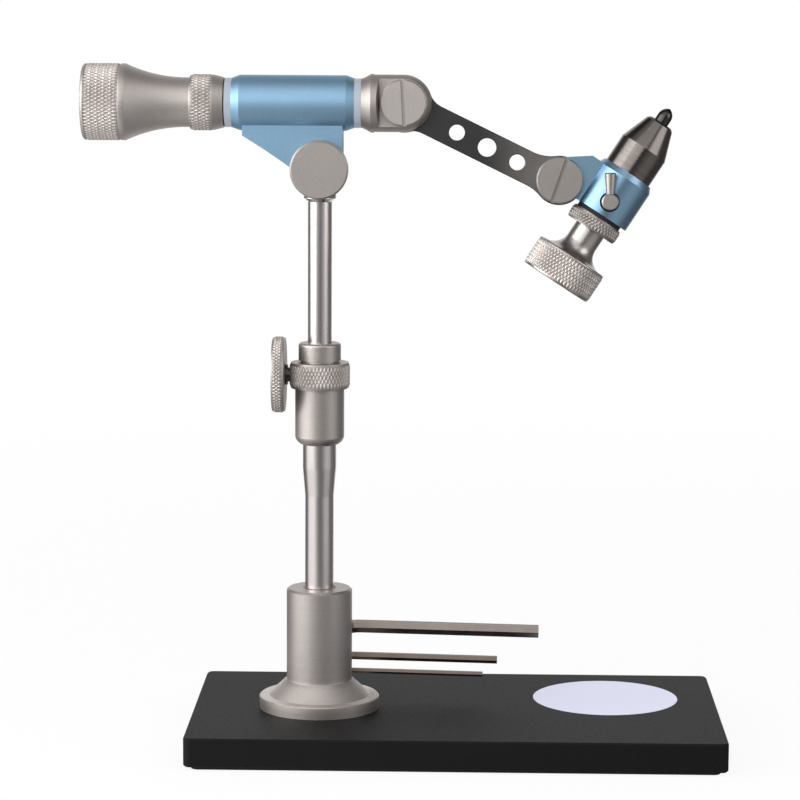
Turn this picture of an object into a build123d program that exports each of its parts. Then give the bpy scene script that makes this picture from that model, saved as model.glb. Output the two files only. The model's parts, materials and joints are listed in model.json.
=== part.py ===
from build123d import *
import os
from math import cos, radians, sin, sqrt

# Fly tying vise on a flat base, in millimetres.
# X runs along the spindle towards the jaws, Y away from the tyer, Z up.
# The origin is under the middle of the base.

# Fits
running_clearance = 0.04
face_clearance = 0.05
hole_clearance = 0.3

# Base plate, its non-slip pad and the dished inlay
pad_thickness = 1.5
pad_inset = 3.0
plate_length = 220.0
plate_width = 120.0
plate_thickness = 12.0
plate_corner_radius = 3.0
plate_edge_chamfer = 0.6
inlay_end_distance = 46.4
inlay_y = 17.3
inlay_diameter = 61.4
inlay_thickness = 2.0
inlay_rim = 1.4
inlay_dish = 0.8
inlay_clearance = 0.1

# Pedestal
post_end_distance = 52.4
post_y = -2.4
flange_diameter = 50.2
flange_rim_height = 5.1
flange_chamfer = 0.4
flange_ledge_rise = 0.4
flange_cone_foot = 42.2
flange_cone_top = 28.1
flange_cone_height = 6.6
column_diameter = 27.4
column_height = 50.9
column_chamfer = 0.9
socket_depth = 35.0
socket_countersink = 1.0

# Base bolt, a cap screw from below
bolt_diameter = 6.0
bolt_grip = 10.0
bolt_head_diameter = 10.0
bolt_head_height = 6.0
bolt_head_recess = 0.6
bolt_socket = 5.0
bolt_socket_depth = 3.0

# Grub screw that holds the post
post_screw_diameter = 6.0
post_screw_length = 6.5
post_screw_drop = 8.5
post_screw_socket = 3.0
post_screw_socket_depth = 3.0

# Hex keys kept behind the column
key_offset = 9.7
key_droop = 1.2
key_clearance = 0.08
key_bend_ratio = 1.5
large_key_size = 5.0
large_key_long = 82.8
large_key_short = 25.5
large_key_insert = 14.0
large_key_height = 30.0
middle_key_size = 3.0
middle_key_long = 65.2
middle_key_short = 18.5
middle_key_insert = 11.0
middle_key_height = 18.0
small_key_size = 2.0
small_key_long = 59.1
small_key_short = 15.0
small_key_insert = 8.5
small_key_height = 11.8

# Lower post, a tube with a swelled top
post_diameter = 12.0
post_swell_diameter = 14.0
post_plain_length = 39.1
post_taper_length = 12.0
post_swell_length = 9.7
post_in_collar = 14.5
post_bore_clearance = 0.15

# Clamp collar and its knurled ring
collar_diameter = 20.4
collar_length = 34.3
collar_foot_width = 2.9
collar_foot_height = 3.2
collar_foot_bulge = 0.55
ring_diameter = 25.1
ring_height = 10.6
ring_chamfer = 0.6

# Height clamp: wheel, screw and brass pad
clamp_screw_diameter = 6.0
clamp_neck_length = 0.6
clamp_shoulder_diameter = 8.4
clamp_shoulder_length = 1.2
clamp_wheel_diameter = 31.6
clamp_wheel_thickness = 5.2
clamp_wheel_chamfer = 0.6
clamp_pad_length = 2.2
clamp_pad_diameter = 4.6

# Rod guide: sleeve inside the collar, neck above it
guide_sleeve_diameter = 14.0
guide_sleeve_gap = 0.4
guide_neck_diameter = 17.6
guide_neck_height = 8.2
guide_groove_height = 0.9
guide_groove_depth = 0.9
guide_top_radius = 1.3
guide_slit = 1.0

# Upper rod with its tongue
rod_diameter = 10.0
rod_exposed_length = 58.4
rod_inside_length = 72.0
rod_end_chamfer = 0.8
rod_head_diameter = 13.4
rod_head_chamfer = 1.5
rod_head_band = 0.3
tongue_thickness = 6.0

# Tilt joint
lug_thickness = 14.0
fork_radius = 11.0
fork_shoulder_gap = 0.8
fork_slot_rise = 12.5
tilt_shank_diameter = 7.0
tilt_disc_diameter = 24.0
tilt_disc_thickness = 4.6
tilt_disc_chamfer = 0.7
tilt_washer_diameter = 12.0
tilt_washer_thickness = 1.2
tilt_screw_diameter = 4.0
tilt_screw_length = 10.0
tilt_screw_head_diameter = 7.0
tilt_screw_head_height = 4.0
tilt_screw_socket = 3.0
tilt_screw_socket_depth = 2.0

# Barrel and lug, the lug's outline measured from the tilt pivot
axis_rise = 26.8
barrel_diameter = 22.7
barrel_length = 50.2
barrel_rear_reach = 36.1
barrel_end_diameter = 20.3
barrel_chamfer_length = 3.3
lug_rear_reach = 31.6
lug_front_reach = 9.4
lug_rear_rise = 13.6
lug_curve_reach = 20.2
lug_curve_rise = 6.4

# Spindle and its bushes
spindle_diameter = 10.0
spindle_in_clevis = 4.5
spindle_in_knob = 34.0
bush_wall = 3.0
bush_length = 14.0
bush_flange_diameter = 20.2
bush_flange_thickness = 2.8

# Drag ring and washer
drag_washer_diameter = 19.4
drag_washer_thickness = 0.4
drag_ring_diameter = 23.0
drag_ring_band = 9.4
drag_ring_cone = 4.4
drag_ring_end_diameter = 20.6
drag_ring_chamfer = 0.6

# Rear knob
knob_neck_diameter = 20.3
knob_neck_length = 1.5
knob_flare_length = 25.0
knob_diameter = 31.5
knob_land_length = 2.0
knob_band_length = 15.5
knob_end_radius = 1.3
knob_screw_diameter = 4.0
knob_screw_length = 4.6
knob_screw_place = 6.0
knob_screw_socket = 2.0
knob_screw_socket_depth = 2.0

# Clevis
clevis_throat_diameter = 20.1
clevis_flare_length = 3.9
clevis_flare_hollow = 0.15
clevis_diameter = 24.0
clevis_flat_start = 7.4
clevis_rear_flat_start = 5.4
clevis_over_flats = 13.8
clevis_flat_lean = 1.2
clevis_flat_corner = 0.5
elbow_reach = 17.3

# How far the jaw side leans back about the spindle at rest, in degrees
rotary_lean = 4.0

# Pivot screws and nuts of the arm
pivot_shank_diameter = 8.0
pivot_head_diameter = 19.0
pivot_head_height = 3.0
pivot_head_chamfer = 0.5
pivot_slot_width = 1.7
pivot_slot_depth = 1.2
elbow_slot_angle = 93.0
wrist_slot_angle = 71.0
elbow_nut_diameter = 23.4
elbow_nut_thickness = 5.0
wrist_nut_diameter = 18.0
wrist_nut_thickness = 4.0
nut_chamfer = 0.6
nut_bore_floor = 1.2

# Jaw arm
arm_length = 71.0
arm_fall = 25.9
arm_thickness = 5.0
arm_width = 13.3
arm_drop = 1.0
arm_elbow_radius = 11.6
arm_wrist_radius = 10.1
arm_elbow_fillet = 9.0
arm_wrist_fillet = 17.0
arm_edge_chamfer = 0.3
arm_end_gap = 0.5
arm_first_hole = 24.8
arm_last_hole = 18.7
arm_end_hole_diameter = 6.5
arm_middle_hole_diameter = 7.6
elbow_washer_diameter = 17.0
elbow_washer_thickness = 0.4

# Jaw head, measured back along the jaw axis from the tip
jaw_rise = 57.0
wrist_back = 49.2
wrist_side = 21.7
jaw_tip_length = 6.8
jaw_tip_diameter = 6.1
jaw_ogive_length = 4.0
jaw_ogive_bulge_length = 1.3
jaw_ogive_bulge_diameter = 4.0
jaw_grip_gap = 0.06
jaw_grip_length = 10.0
jaw_relief_gap = 0.8
jaw_taper_length = 10.0
jaw_taper_end_diameter = 3.7
jaw_tail_diameter = 3.0
jaw_clearance = 0.06
jaw_eye_diameter = 3.4
jaw_eye_width = 1.4
jaw_tail_stop = 2.4
jaw_pin_diameter = 1.4
jaw_pin_back = 33.0

# Collet
nose_diameter = 12.2
nose_edge_radius = 0.9
nose_length = 12.5
collet_diameter = 20.7
collet_length = 12.0
collet_stem_diameter = 18.0
collet_chamber_start = 24.0
collet_chamber_length = 20.0
collet_throat_clearance = 0.6

# Draw bar
draw_bar_diameter = 6.0
draw_bar_length = 46.0
draw_head_diameter = 9.0
draw_head_front = 3.5
draw_head_back = 5.0
draw_slot_clearance = 0.1
draw_slot_back = 2.2

# Jaw holder and its fork
holder_diameter = 24.8
holder_length = 20.2
holder_chamfer_length = 2.5
holder_chamfer_depth = 1.3
holder_fork_thickness = 13.6
holder_fork_radius = 9.4
holder_lug_start = 2.1
holder_lug_side = 16.0
holder_lug_foot = 11.8
holder_lug_foot_angle = 50.0

# Washer, lock ring and knob behind the holder
collet_washer_diameter = 20.0
collet_washer_thickness = 1.6
lock_ring_diameter = 22.6
lock_ring_length = 5.7
lock_ring_chamfer = 0.5
jaw_knob_neck_diameter = 13.3
jaw_knob_neck_length = 6.1
jaw_knob_flare = 6.8
jaw_knob_diameter = 31.0
jaw_knob_length = 13.0
jaw_knob_edge_radius = 0.8
jaw_knob_floor = 3.0

# Lock lever on the holder
lock_back = 45.4
lock_head_diameter = 6.8
lock_head_rise = 4.8
lock_head_sink = 1.5
lock_head_chamfer = 0.45
lock_recess_clearance = 0.7
lock_shank_diameter = 4.0
lock_handle_root_diameter = 3.3
lock_handle_tip_diameter = 4.8
lock_handle_reach = 11.8
lock_handle_depth = 2.0
lock_handle_height = 2.6
lock_handle_chamfer = 0.5

# Heights and places that follow from the sizes above
inlay_x = plate_length / 2 - inlay_end_distance
post_x = post_end_distance - plate_length / 2
plate_top = pad_thickness + plate_thickness
column_top = plate_top + column_height
socket_floor = column_top - socket_depth
taper_start = column_top + post_plain_length
taper_end = taper_start + post_taper_length
collar_bottom = taper_end + post_swell_length
collar_top = collar_bottom + collar_length
post_top = collar_bottom + post_in_collar
neck_top = collar_top + guide_neck_height
clamp_height = collar_top - ring_height / 2
rod_head_bottom = neck_top + rod_exposed_length
rod_shoulder = rod_head_bottom + rod_head_chamfer + rod_head_band
tilt_height = rod_shoulder + fork_shoulder_gap + fork_radius
axis_height = tilt_height + axis_rise

clamp_pad_start = guide_sleeve_diameter / 2 + face_clearance
clamp_pad_end = clamp_pad_start + clamp_pad_length
shoulder_start = ring_diameter / 2 + clamp_neck_length
wheel_start = shoulder_start + clamp_shoulder_length
wheel_end = wheel_start + clamp_wheel_thickness

barrel_rear = -barrel_rear_reach
barrel_front = barrel_rear + barrel_length
rear_flange_face = barrel_rear - bush_flange_thickness
drag_ring_front = rear_flange_face - drag_washer_thickness - 2 * face_clearance
drag_ring_rear = drag_ring_front - drag_ring_cone - drag_ring_band
knob_front = drag_ring_rear - 2 * face_clearance
knob_flare_end = knob_front - knob_neck_length - knob_flare_length
knob_rear = knob_flare_end - knob_land_length - knob_band_length
clevis_face = barrel_front + bush_flange_thickness + face_clearance
elbow_place = clevis_face + elbow_reach

nose_back = jaw_tip_length
cone_back = nose_back + nose_length
holder_front = cone_back + collet_length
holder_rear = holder_front + holder_length
washer_rear = holder_rear + face_clearance + collet_washer_thickness
lock_ring_front = washer_rear + face_clearance
stem_end = lock_ring_front + lock_ring_length
jaw_knob_front = stem_end + face_clearance
jaw_knob_face = jaw_knob_front + jaw_knob_neck_length + jaw_knob_flare
jaw_knob_rear = jaw_knob_face + jaw_knob_length
chamber_end = collet_chamber_start + collet_chamber_length
draw_bar_end = jaw_pin_back + draw_bar_length
jaw_taper_end = nose_back + jaw_taper_length
lock_seat = holder_diameter / 2 - lock_head_sink

elbow_slot = arm_thickness + 2 * elbow_washer_thickness + 4 * face_clearance
elbow_x = post_x + elbow_place
wrist_x = elbow_x + arm_length * cos(radians(arm_fall))
wrist_z = axis_height - arm_length * sin(radians(arm_fall))
jaw_along = (cos(radians(jaw_rise)), sin(radians(jaw_rise)))
tip_x = wrist_x + wrist_back * jaw_along[0] + wrist_side * jaw_along[1]
tip_z = wrist_z + wrist_back * jaw_along[1] - wrist_side * jaw_along[0]

# Working frames: turned parts lie along the frame's own Z
post_frame = Plane(origin=(post_x, post_y, 0))
spindle_frame = Plane(origin=(post_x, post_y, axis_height), x_dir=(0, 0, 1), z_dir=(1, 0, 0))
clamp_frame = Plane(origin=(post_x, post_y, clamp_height), x_dir=(0, 0, 1), z_dir=(-1, 0, 0))
tilt_frame = Plane(origin=(post_x, post_y, tilt_height), x_dir=(1, 0, 0), z_dir=(0, -1, 0))
elbow_frame = Plane(origin=(elbow_x, post_y, axis_height), x_dir=(1, 0, 0), z_dir=(0, -1, 0))
wrist_frame = Plane(origin=(wrist_x, post_y, wrist_z), x_dir=(1, 0, 0), z_dir=(0, -1, 0))
jaw_frame = Plane(
    origin=(tip_x, post_y, tip_z),
    x_dir=(jaw_along[1], 0, -jaw_along[0]),
    z_dir=(jaw_along[0], 0, jaw_along[1]),
)
lock_centre = jaw_frame.from_local_coords(Vector(0, 0, -lock_back))
lock_frame = Plane(lock_centre, x_dir=(1, 0, 0), z_dir=(0, -1, 0))
from_below = (Align.CENTER, Align.CENTER, Align.MIN)

# The jaw side of the rotary head stands turned back about the spindle
spindle_origin = Pos(post_x, post_y, axis_height)
leaned = spindle_origin * Rot(-rotary_lean, 0, 0) * spindle_origin.inverse()


def rod(diameter, start, end):
    """Cylinder on the frame's Z from start to end."""
    low = min(start, end)
    return Pos(0, 0, low) * Cylinder(diameter / 2, abs(end - start), align=from_below)


def turned(*edges):
    """Solid of revolution about Z from the edges of a closed (radius, height) outline."""
    return revolve(Plane.XZ * make_face(edges), Axis.Z)


def turned_points(*points):
    """Solid of revolution about Z from the corners of a closed (radius, height) outline."""
    return turned(*Polyline(*points, close=True).edges())


def hollow_arc(start, end, hollow):
    """Arc from start to end that sinks below its chord by hollow, or swells out if that is negative."""
    mid_r = (start[0] + end[0]) / 2
    mid_z = (start[1] + end[1]) / 2
    run = (end[0] - start[0], end[1] - start[1])
    span = sqrt(run[0] ** 2 + run[1] ** 2)
    side = -1 if run[1] > 0 else 1
    inward = (side * run[1] / span, -side * run[0] / span)
    return ThreePointArc(start, (mid_r + hollow * inward[0], mid_z + hollow * inward[1]), end)


def hexagon(across_flats):
    """Hexagon with two corners on the frame's X."""
    return RegularPolygon(across_flats / 2, 6, major_radius=False)


def common(first, second):
    """Solid that two bodies share."""
    return (first & second).solids().sort_by(SortBy.VOLUME)[-1]


def chamfered_disc(diameter, start, end, edge):
    """Disc between two heights with both rims chamfered."""
    low, high = min(start, end), max(start, end)
    radius = diameter / 2
    return turned_points(
        (0, low), (radius - edge, low), (radius, low + edge),
        (radius, high - edge), (radius - edge, high), (0, high),
    )


def base_pad():
    length = plate_length - 2 * pad_inset
    width = plate_width - 2 * pad_inset
    sheet = RectangleRounded(length, width, plate_corner_radius)
    access = post_frame * rod(bolt_head_diameter + 2 * hole_clearance, 0, pad_thickness)
    return extrude(sheet, pad_thickness) - access


def base_plate():
    outline = RectangleRounded(plate_length, plate_width, plate_corner_radius)
    plate = Pos(0, 0, pad_thickness) * extrude(outline, plate_thickness)
    rims = plate.faces().sort_by(Axis.Z)[0].edges() + plate.faces().sort_by(Axis.Z)[-1].edges()
    plate = chamfer(rims, plate_edge_chamfer)
    recess = rod(inlay_diameter + 2 * inlay_clearance, plate_top - inlay_thickness, plate_top)
    head_seat = pad_thickness + bolt_head_recess + bolt_head_height
    bolt_way = rod(bolt_diameter + 2 * hole_clearance, pad_thickness, plate_top)
    head_way = rod(bolt_head_diameter + 2 * hole_clearance, pad_thickness, head_seat)
    return plate - Pos(inlay_x, inlay_y, 0) * recess - post_frame * (bolt_way + head_way)


def inlay_disc():
    radius = inlay_diameter / 2
    low = plate_top - inlay_thickness
    dish_radius = radius - inlay_rim
    dish = ThreePointArc((-dish_radius, plate_top), (0, plate_top - inlay_dish), (dish_radius, plate_top))
    bottom_of_dish = (0, plate_top - inlay_dish)
    half_dish = dish.trim(0.5, 1)
    rest = Polyline((dish_radius, plate_top), (radius, plate_top), (radius, low), (0, low), bottom_of_dish)
    return Pos(inlay_x, inlay_y, 0) * turned(half_dish, *rest.edges())


def column_face_at(offset):
    """How far behind the post axis the column's surface lies, at an offset along X."""
    return sqrt((column_diameter / 2) ** 2 - offset**2)


def key_place(height):
    """Frame of a key's hole: origin beside the post axis, turned by the droop."""
    return Location((post_x + key_offset, post_y, plate_top + height), (0, key_droop, 0))


def key_leg_depth(short_leg, insert):
    """Y of the long leg behind the post axis."""
    return column_face_at(key_offset) + short_leg - insert


def key_section(size, start):
    """Hexagon across the short leg, flats up and down."""
    return Plane(origin=(0, start, 0), x_dir=(1, 0, 0), z_dir=(0, 1, 0)) * hexagon(size)


def key_hole(size, height, insert):
    start = column_face_at(key_offset) - insert
    reach = flange_diameter / 2
    return key_place(height) * extrude(key_section(size + 2 * key_clearance, start), reach)


def hex_key(size, long_leg, short_leg, height, insert):
    leg = key_leg_depth(short_leg, insert)
    start = leg - short_leg
    path = FilletPolyline((0, start, 0), (0, leg, 0), (long_leg, leg, 0), radius=key_bend_ratio * size)
    return key_place(height) * sweep(key_section(size, start), path=path)


def pedestal():
    rim = flange_diameter / 2
    column = column_diameter / 2
    rim_top = plate_top + flange_rim_height
    cone_foot = rim_top + flange_ledge_rise
    cone_top = cone_foot + flange_cone_height
    body = turned_points(
        (0, plate_top), (rim, plate_top), (rim, rim_top - flange_chamfer), (rim - flange_chamfer, rim_top),
        (flange_cone_foot / 2, cone_foot), (flange_cone_top / 2, cone_top), (column, cone_top),
        (column, column_top - column_chamfer), (column - column_chamfer, column_top), (0, column_top),
    )
    socket = post_diameter / 2
    mouth = turned_points(
        (0, column_top - socket_countersink), (socket, column_top - socket_countersink),
        (socket + socket_countersink, column_top), (0, column_top),
    )
    body -= rod(post_diameter, socket_floor, column_top) + mouth
    body -= rod(bolt_diameter, plate_top, plate_top + bolt_grip + hole_clearance)
    body = post_frame * body - post_screw_place() * rod(post_screw_diameter, 0, column)
    body -= key_hole(large_key_size, large_key_height, large_key_insert)
    body -= key_hole(middle_key_size, middle_key_height, middle_key_insert)
    return body - key_hole(small_key_size, small_key_height, small_key_insert)


def base_bolt():
    head_low = pad_thickness + bolt_head_recess
    head_high = head_low + bolt_head_height
    head = rod(bolt_head_diameter, head_low, head_high)
    shank = rod(bolt_diameter, head_high, plate_top + bolt_grip)
    socket = extrude(Pos(0, 0, head_low) * hexagon(bolt_socket), bolt_socket_depth)
    return post_frame * (head + shank - socket)


def post_screw_place():
    """Frame of the grub screw, its Z pointing away from the post towards the back."""
    height = column_top - post_screw_drop
    return Plane(origin=(post_x, post_y, height), x_dir=(1, 0, 0), z_dir=(0, 1, 0))


def post_screw():
    start = post_diameter / 2
    end = start + post_screw_length
    socket = Pos(0, 0, end - post_screw_socket_depth) * hexagon(post_screw_socket)
    screw = rod(post_screw_diameter, start, end) - extrude(socket, post_screw_socket_depth)
    return post_screw_place() * screw


def lower_post():
    plain = post_diameter / 2
    swell = post_swell_diameter / 2
    bore = rod_diameter / 2 + post_bore_clearance
    return post_frame * turned_points(
        (bore, socket_floor), (plain, socket_floor), (plain, taper_start), (swell, taper_end),
        (swell, post_top), (bore, post_top),
    )


def clamp_way():
    """Threaded way for the clamp screw, through the collar and its ring."""
    return clamp_frame * rod(clamp_screw_diameter + 2 * running_clearance, 0, ring_diameter)


def clamp_collar():
    outer = collar_diameter / 2
    foot_low = (outer - collar_foot_width, collar_bottom)
    foot_high = (outer, collar_bottom + collar_foot_height)
    foot = hollow_arc(foot_low, foot_high, -collar_foot_bulge)
    rest = Polyline(foot_high, (outer, collar_top), (0, collar_top), (0, collar_bottom), foot_low)
    body = turned(foot, *rest.edges())
    body -= rod(post_swell_diameter, collar_bottom, post_top)
    body -= rod(guide_sleeve_diameter + 2 * running_clearance, post_top, collar_top)
    return post_frame * body - clamp_way()


def collar_ring():
    ring = chamfered_disc(ring_diameter, collar_top - ring_height, collar_top, ring_chamfer)
    ring -= rod(collar_diameter, collar_top - ring_height, collar_top)
    return post_frame * ring - clamp_way()


def clamp_pad():
    return clamp_frame * rod(clamp_pad_diameter, clamp_pad_start, clamp_pad_end)


def clamp_screw():
    shoulder = rod(clamp_shoulder_diameter, shoulder_start, wheel_start)
    return clamp_frame * (rod(clamp_screw_diameter, clamp_pad_end, wheel_end) + shoulder)


def clamp_wheel():
    wheel = chamfered_disc(clamp_wheel_diameter, wheel_start, wheel_end, clamp_wheel_chamfer)
    return clamp_frame * (wheel - rod(clamp_screw_diameter, wheel_start, wheel_end))


def rod_guide():
    sleeve = guide_sleeve_diameter / 2
    neck = guide_neck_diameter / 2
    bore = rod_diameter / 2 + running_clearance
    sleeve_low = post_top + guide_sleeve_gap
    groove = collar_top + face_clearance
    ledge = groove + guide_groove_height
    sleeve_side = Polyline(
        (bore, neck_top), (bore, sleeve_low), (sleeve, sleeve_low), (sleeve, groove),
        (neck - guide_groove_depth, groove), (neck - guide_groove_depth, ledge), (neck, ledge),
        (neck, neck_top - guide_top_radius),
    )
    lid_rim = neck - guide_top_radius
    top = RadiusArc((neck, neck_top - guide_top_radius), (lid_rim, neck_top), -guide_top_radius)
    lid = Line((lid_rim, neck_top), (bore, neck_top))
    body = turned(*sleeve_side.edges(), top, lid)
    slit_height = collar_top - sleeve_low
    slit = Pos(0, sleeve, sleeve_low) * Box(guide_slit, guide_sleeve_diameter, slit_height, align=from_below)
    return post_frame * (body - slit)


def upper_rod():
    shaft = rod_diameter / 2
    head = rod_head_diameter / 2
    end = neck_top - rod_inside_length
    body = turned_points(
        (0, end), (shaft - rod_end_chamfer, end), (shaft, end + rod_end_chamfer),
        (shaft, rod_head_bottom), (head, rod_shoulder - rod_head_band),
        (head, rod_shoulder), (0, rod_shoulder),
    )
    stem_height = tilt_height - rod_shoulder
    stem = Pos(0, -stem_height / 2) * Rectangle(rod_head_diameter, stem_height)
    tongue = extrude(stem + Circle(head), tongue_thickness / 2, both=True)
    blade = common(tilt_frame * tongue, post_frame * rod(rod_head_diameter, end, tilt_height + head))
    pivot = tilt_frame * rod(tilt_shank_diameter + 2 * running_clearance, -lug_thickness, lug_thickness)
    return post_frame * body + blade - pivot


def lug():
    """Side view of the lug, from the tilt pivot up to the barrel's axis."""
    rear = (-lug_rear_reach, lug_rear_rise)
    front = (lug_front_reach, axis_rise)
    start_of_curve = (-fork_radius, 0)
    curve = ThreePointArc(rear, (-lug_curve_reach, lug_curve_rise), start_of_curve)
    rest = Polyline(
        start_of_curve, (0, 0), (lug_front_reach, 0), front, (-lug_rear_reach, axis_rise), rear
    )
    outline = make_face([curve, *rest.edges()]) + Circle(fork_radius)
    return extrude(outline, lug_thickness / 2, both=True)


def barrel():
    outer = barrel_diameter / 2
    end = barrel_end_diameter / 2
    tube = turned_points(
        (0, barrel_rear), (end, barrel_rear), (outer, barrel_rear + barrel_chamfer_length),
        (outer, barrel_front - barrel_chamfer_length), (end, barrel_front), (0, barrel_front),
    )
    bore = rod(spindle_diameter + 2 * bush_wall, barrel_rear, barrel_front)
    slot_width = tongue_thickness + 2 * face_clearance
    slot_low = -fork_radius
    slot = Pos(0, (slot_low + fork_slot_rise) / 2) * Rectangle(
        2 * lug_rear_reach, fork_slot_rise - slot_low
    )
    slot = extrude(slot, slot_width / 2, both=True)
    pivot = rod(tilt_shank_diameter, -lug_thickness, lug_thickness)
    body = spindle_frame * tube + tilt_frame * lug()
    return body - spindle_frame * bore - tilt_frame * (slot + pivot)


def tilt_pivot():
    front = lug_thickness / 2
    disc = chamfered_disc(tilt_disc_diameter, front, front + tilt_disc_thickness, tilt_disc_chamfer)
    shank_end = -lug_thickness / 2 + hole_clearance
    shank = rod(tilt_shank_diameter, shank_end, front)
    thread = rod(tilt_screw_diameter, shank_end, shank_end + tilt_screw_length)
    return tilt_frame * (disc + shank - thread)


def tilt_washer():
    back = -lug_thickness / 2
    washer = rod(tilt_washer_diameter, back - tilt_washer_thickness, back)
    return tilt_frame * (washer - rod(tilt_screw_diameter, back - tilt_washer_thickness, back))


def tilt_screw():
    seat = -lug_thickness / 2 - tilt_washer_thickness
    top = seat - tilt_screw_head_height
    shank = rod(tilt_screw_diameter, seat, seat + tilt_screw_length)
    head = rod(tilt_screw_head_diameter, seat, top)
    socket = extrude(Pos(0, 0, top) * hexagon(tilt_screw_socket), tilt_screw_socket_depth)
    return tilt_frame * (shank + head - socket)


def bush(face, inward):
    """Flanged bush with its flange against the barrel's end at face."""
    bore = spindle_diameter / 2 + running_clearance
    sleeve = spindle_diameter / 2 + bush_wall
    flange = bush_flange_diameter / 2
    flange_face = face - inward * bush_flange_thickness
    sleeve_end = face + inward * bush_length
    return spindle_frame * turned_points(
        (bore, flange_face), (flange, flange_face), (flange, face),
        (sleeve, face), (sleeve, sleeve_end), (bore, sleeve_end),
    )


def spindle():
    rear = knob_front - spindle_in_knob
    front = clevis_face + spindle_in_clevis
    return spindle_frame * rod(spindle_diameter, rear, front)


def drag_washer():
    rear = drag_ring_front + face_clearance
    washer = rod(drag_washer_diameter, rear, rear + drag_washer_thickness)
    return spindle_frame * (washer - rod(spindle_diameter, rear, rear + drag_washer_thickness))


def drag_ring():
    bore = spindle_diameter / 2 + running_clearance
    outer = drag_ring_diameter / 2
    end = drag_ring_end_diameter / 2
    band_end = drag_ring_rear + drag_ring_band
    return spindle_frame * turned_points(
        (bore, drag_ring_rear), (outer - drag_ring_chamfer, drag_ring_rear),
        (outer, drag_ring_rear + drag_ring_chamfer), (outer, band_end), (end, drag_ring_front),
        (bore, drag_ring_front),
    )


def knob_screw_frame():
    """Frame of the knob's grub screw, its Z pointing away from the spindle towards the back."""
    place = post_x + knob_front - knob_screw_place
    return Plane(origin=(place, post_y, axis_height), x_dir=(1, 0, 0), z_dir=(0, 1, 0))


def rear_knob():
    neck = knob_neck_diameter / 2
    outer = knob_diameter / 2
    flare_start = knob_front - knob_neck_length
    rise = outer - neck
    flare_radius = (knob_flare_length**2 + rise**2) / (2 * rise)
    flare = RadiusArc((neck, flare_start), (outer, knob_flare_end), -flare_radius)
    rim_start = knob_rear + knob_end_radius
    rim = RadiusArc((outer, rim_start), (outer - knob_end_radius, knob_rear), knob_end_radius)
    front = Polyline((0, knob_rear), (0, knob_front), (neck, knob_front), (neck, flare_start))
    side = Line((outer, knob_flare_end), (outer, rim_start))
    back = Line((outer - knob_end_radius, knob_rear), (0, knob_rear))
    knob = turned(*front.edges(), flare, side, rim, back)
    knob -= rod(spindle_diameter, knob_front - spindle_in_knob, knob_front)
    return spindle_frame * knob - knob_screw_frame() * rod(knob_screw_diameter, 0, outer)


def knob_screw():
    start = spindle_diameter / 2
    end = start + knob_screw_length
    socket = Pos(0, 0, end - knob_screw_socket_depth) * hexagon(knob_screw_socket)
    screw = rod(knob_screw_diameter, start, end) - extrude(socket, knob_screw_socket_depth)
    return knob_screw_frame() * screw


def clevis_flat(start):
    """Block that mills a flat of the clevis from start to its end, in the elbow frame."""
    foot = start - elbow_reach
    outer = clevis_diameter / 2
    low = clevis_over_flats / 2
    side = make_face(Polyline(
        (foot, low), (outer, low), (outer, outer), (foot - clevis_flat_lean, outer), close=True
    ))
    return extrude(Plane.XZ * side, outer, both=True)


def clevis():
    throat = clevis_throat_diameter / 2
    outer = clevis_diameter / 2
    end = elbow_place + outer
    flare_end = clevis_face + clevis_flare_length
    flare = hollow_arc((throat, clevis_face), (outer, flare_end), clevis_flare_hollow)
    side = Line((outer, flare_end), (outer, elbow_place))
    ball = RadiusArc((outer, elbow_place), (0, end), -outer)
    rest = Polyline((0, end), (0, clevis_face), (throat, clevis_face))
    body = turned(flare, side, ball, *rest.edges())
    body -= rod(spindle_diameter, clevis_face, clevis_face + spindle_in_clevis)
    front_flat = clevis_flat(clevis_flat_start)
    corner = front_flat.edges().filter_by(Axis.Y).group_by(Axis.Z)[0].sort_by(Axis.X)[0]
    blank = spindle_frame * body - elbow_frame * fillet(corner, clevis_flat_corner)
    blank -= elbow_frame * Rot(180, 0, 0) * clevis_flat(clevis_rear_flat_start)
    slot_from = -arm_elbow_radius - arm_end_gap
    slot = Pos((slot_from + outer) / 2) * Rectangle(outer - slot_from, clevis_diameter)
    blank -= elbow_frame * extrude(slot, elbow_slot / 2, both=True)
    return blank - elbow_frame * rod(pivot_shank_diameter, -outer, outer)


def pivot_screw(half_width, nut_thickness, slot_angle):
    """Slotted screw through a fork that is twice half_width wide, into its nut."""
    front = half_width + pivot_head_height
    end = -half_width - nut_thickness + nut_bore_floor
    edge = pivot_head_chamfer
    radius = pivot_head_diameter / 2
    head = turned_points(
        (0, half_width), (radius, half_width), (radius, front - edge), (radius - edge, front), (0, front)
    )
    slot = Rot(0, 0, slot_angle) * Box(pivot_head_diameter, pivot_slot_width, 2 * pivot_slot_depth)
    return head + rod(pivot_shank_diameter, end, half_width) - Pos(0, 0, front) * slot


def pivot_nut(half_width, diameter, thickness):
    """Round nut behind a fork that is twice half_width wide."""
    back = -half_width - thickness
    nut = chamfered_disc(diameter, back, -half_width, nut_chamfer)
    return nut - rod(pivot_shank_diameter, back + nut_bore_floor, -half_width)


def elbow_screw():
    return elbow_frame * pivot_screw(clevis_over_flats / 2, elbow_nut_thickness, elbow_slot_angle)


def elbow_nut():
    return elbow_frame * pivot_nut(clevis_over_flats / 2, elbow_nut_diameter, elbow_nut_thickness)


def wrist_screw():
    return wrist_frame * pivot_screw(holder_fork_thickness / 2, wrist_nut_thickness, wrist_slot_angle)


def wrist_nut():
    return wrist_frame * pivot_nut(holder_fork_thickness / 2, wrist_nut_diameter, wrist_nut_thickness)


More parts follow.
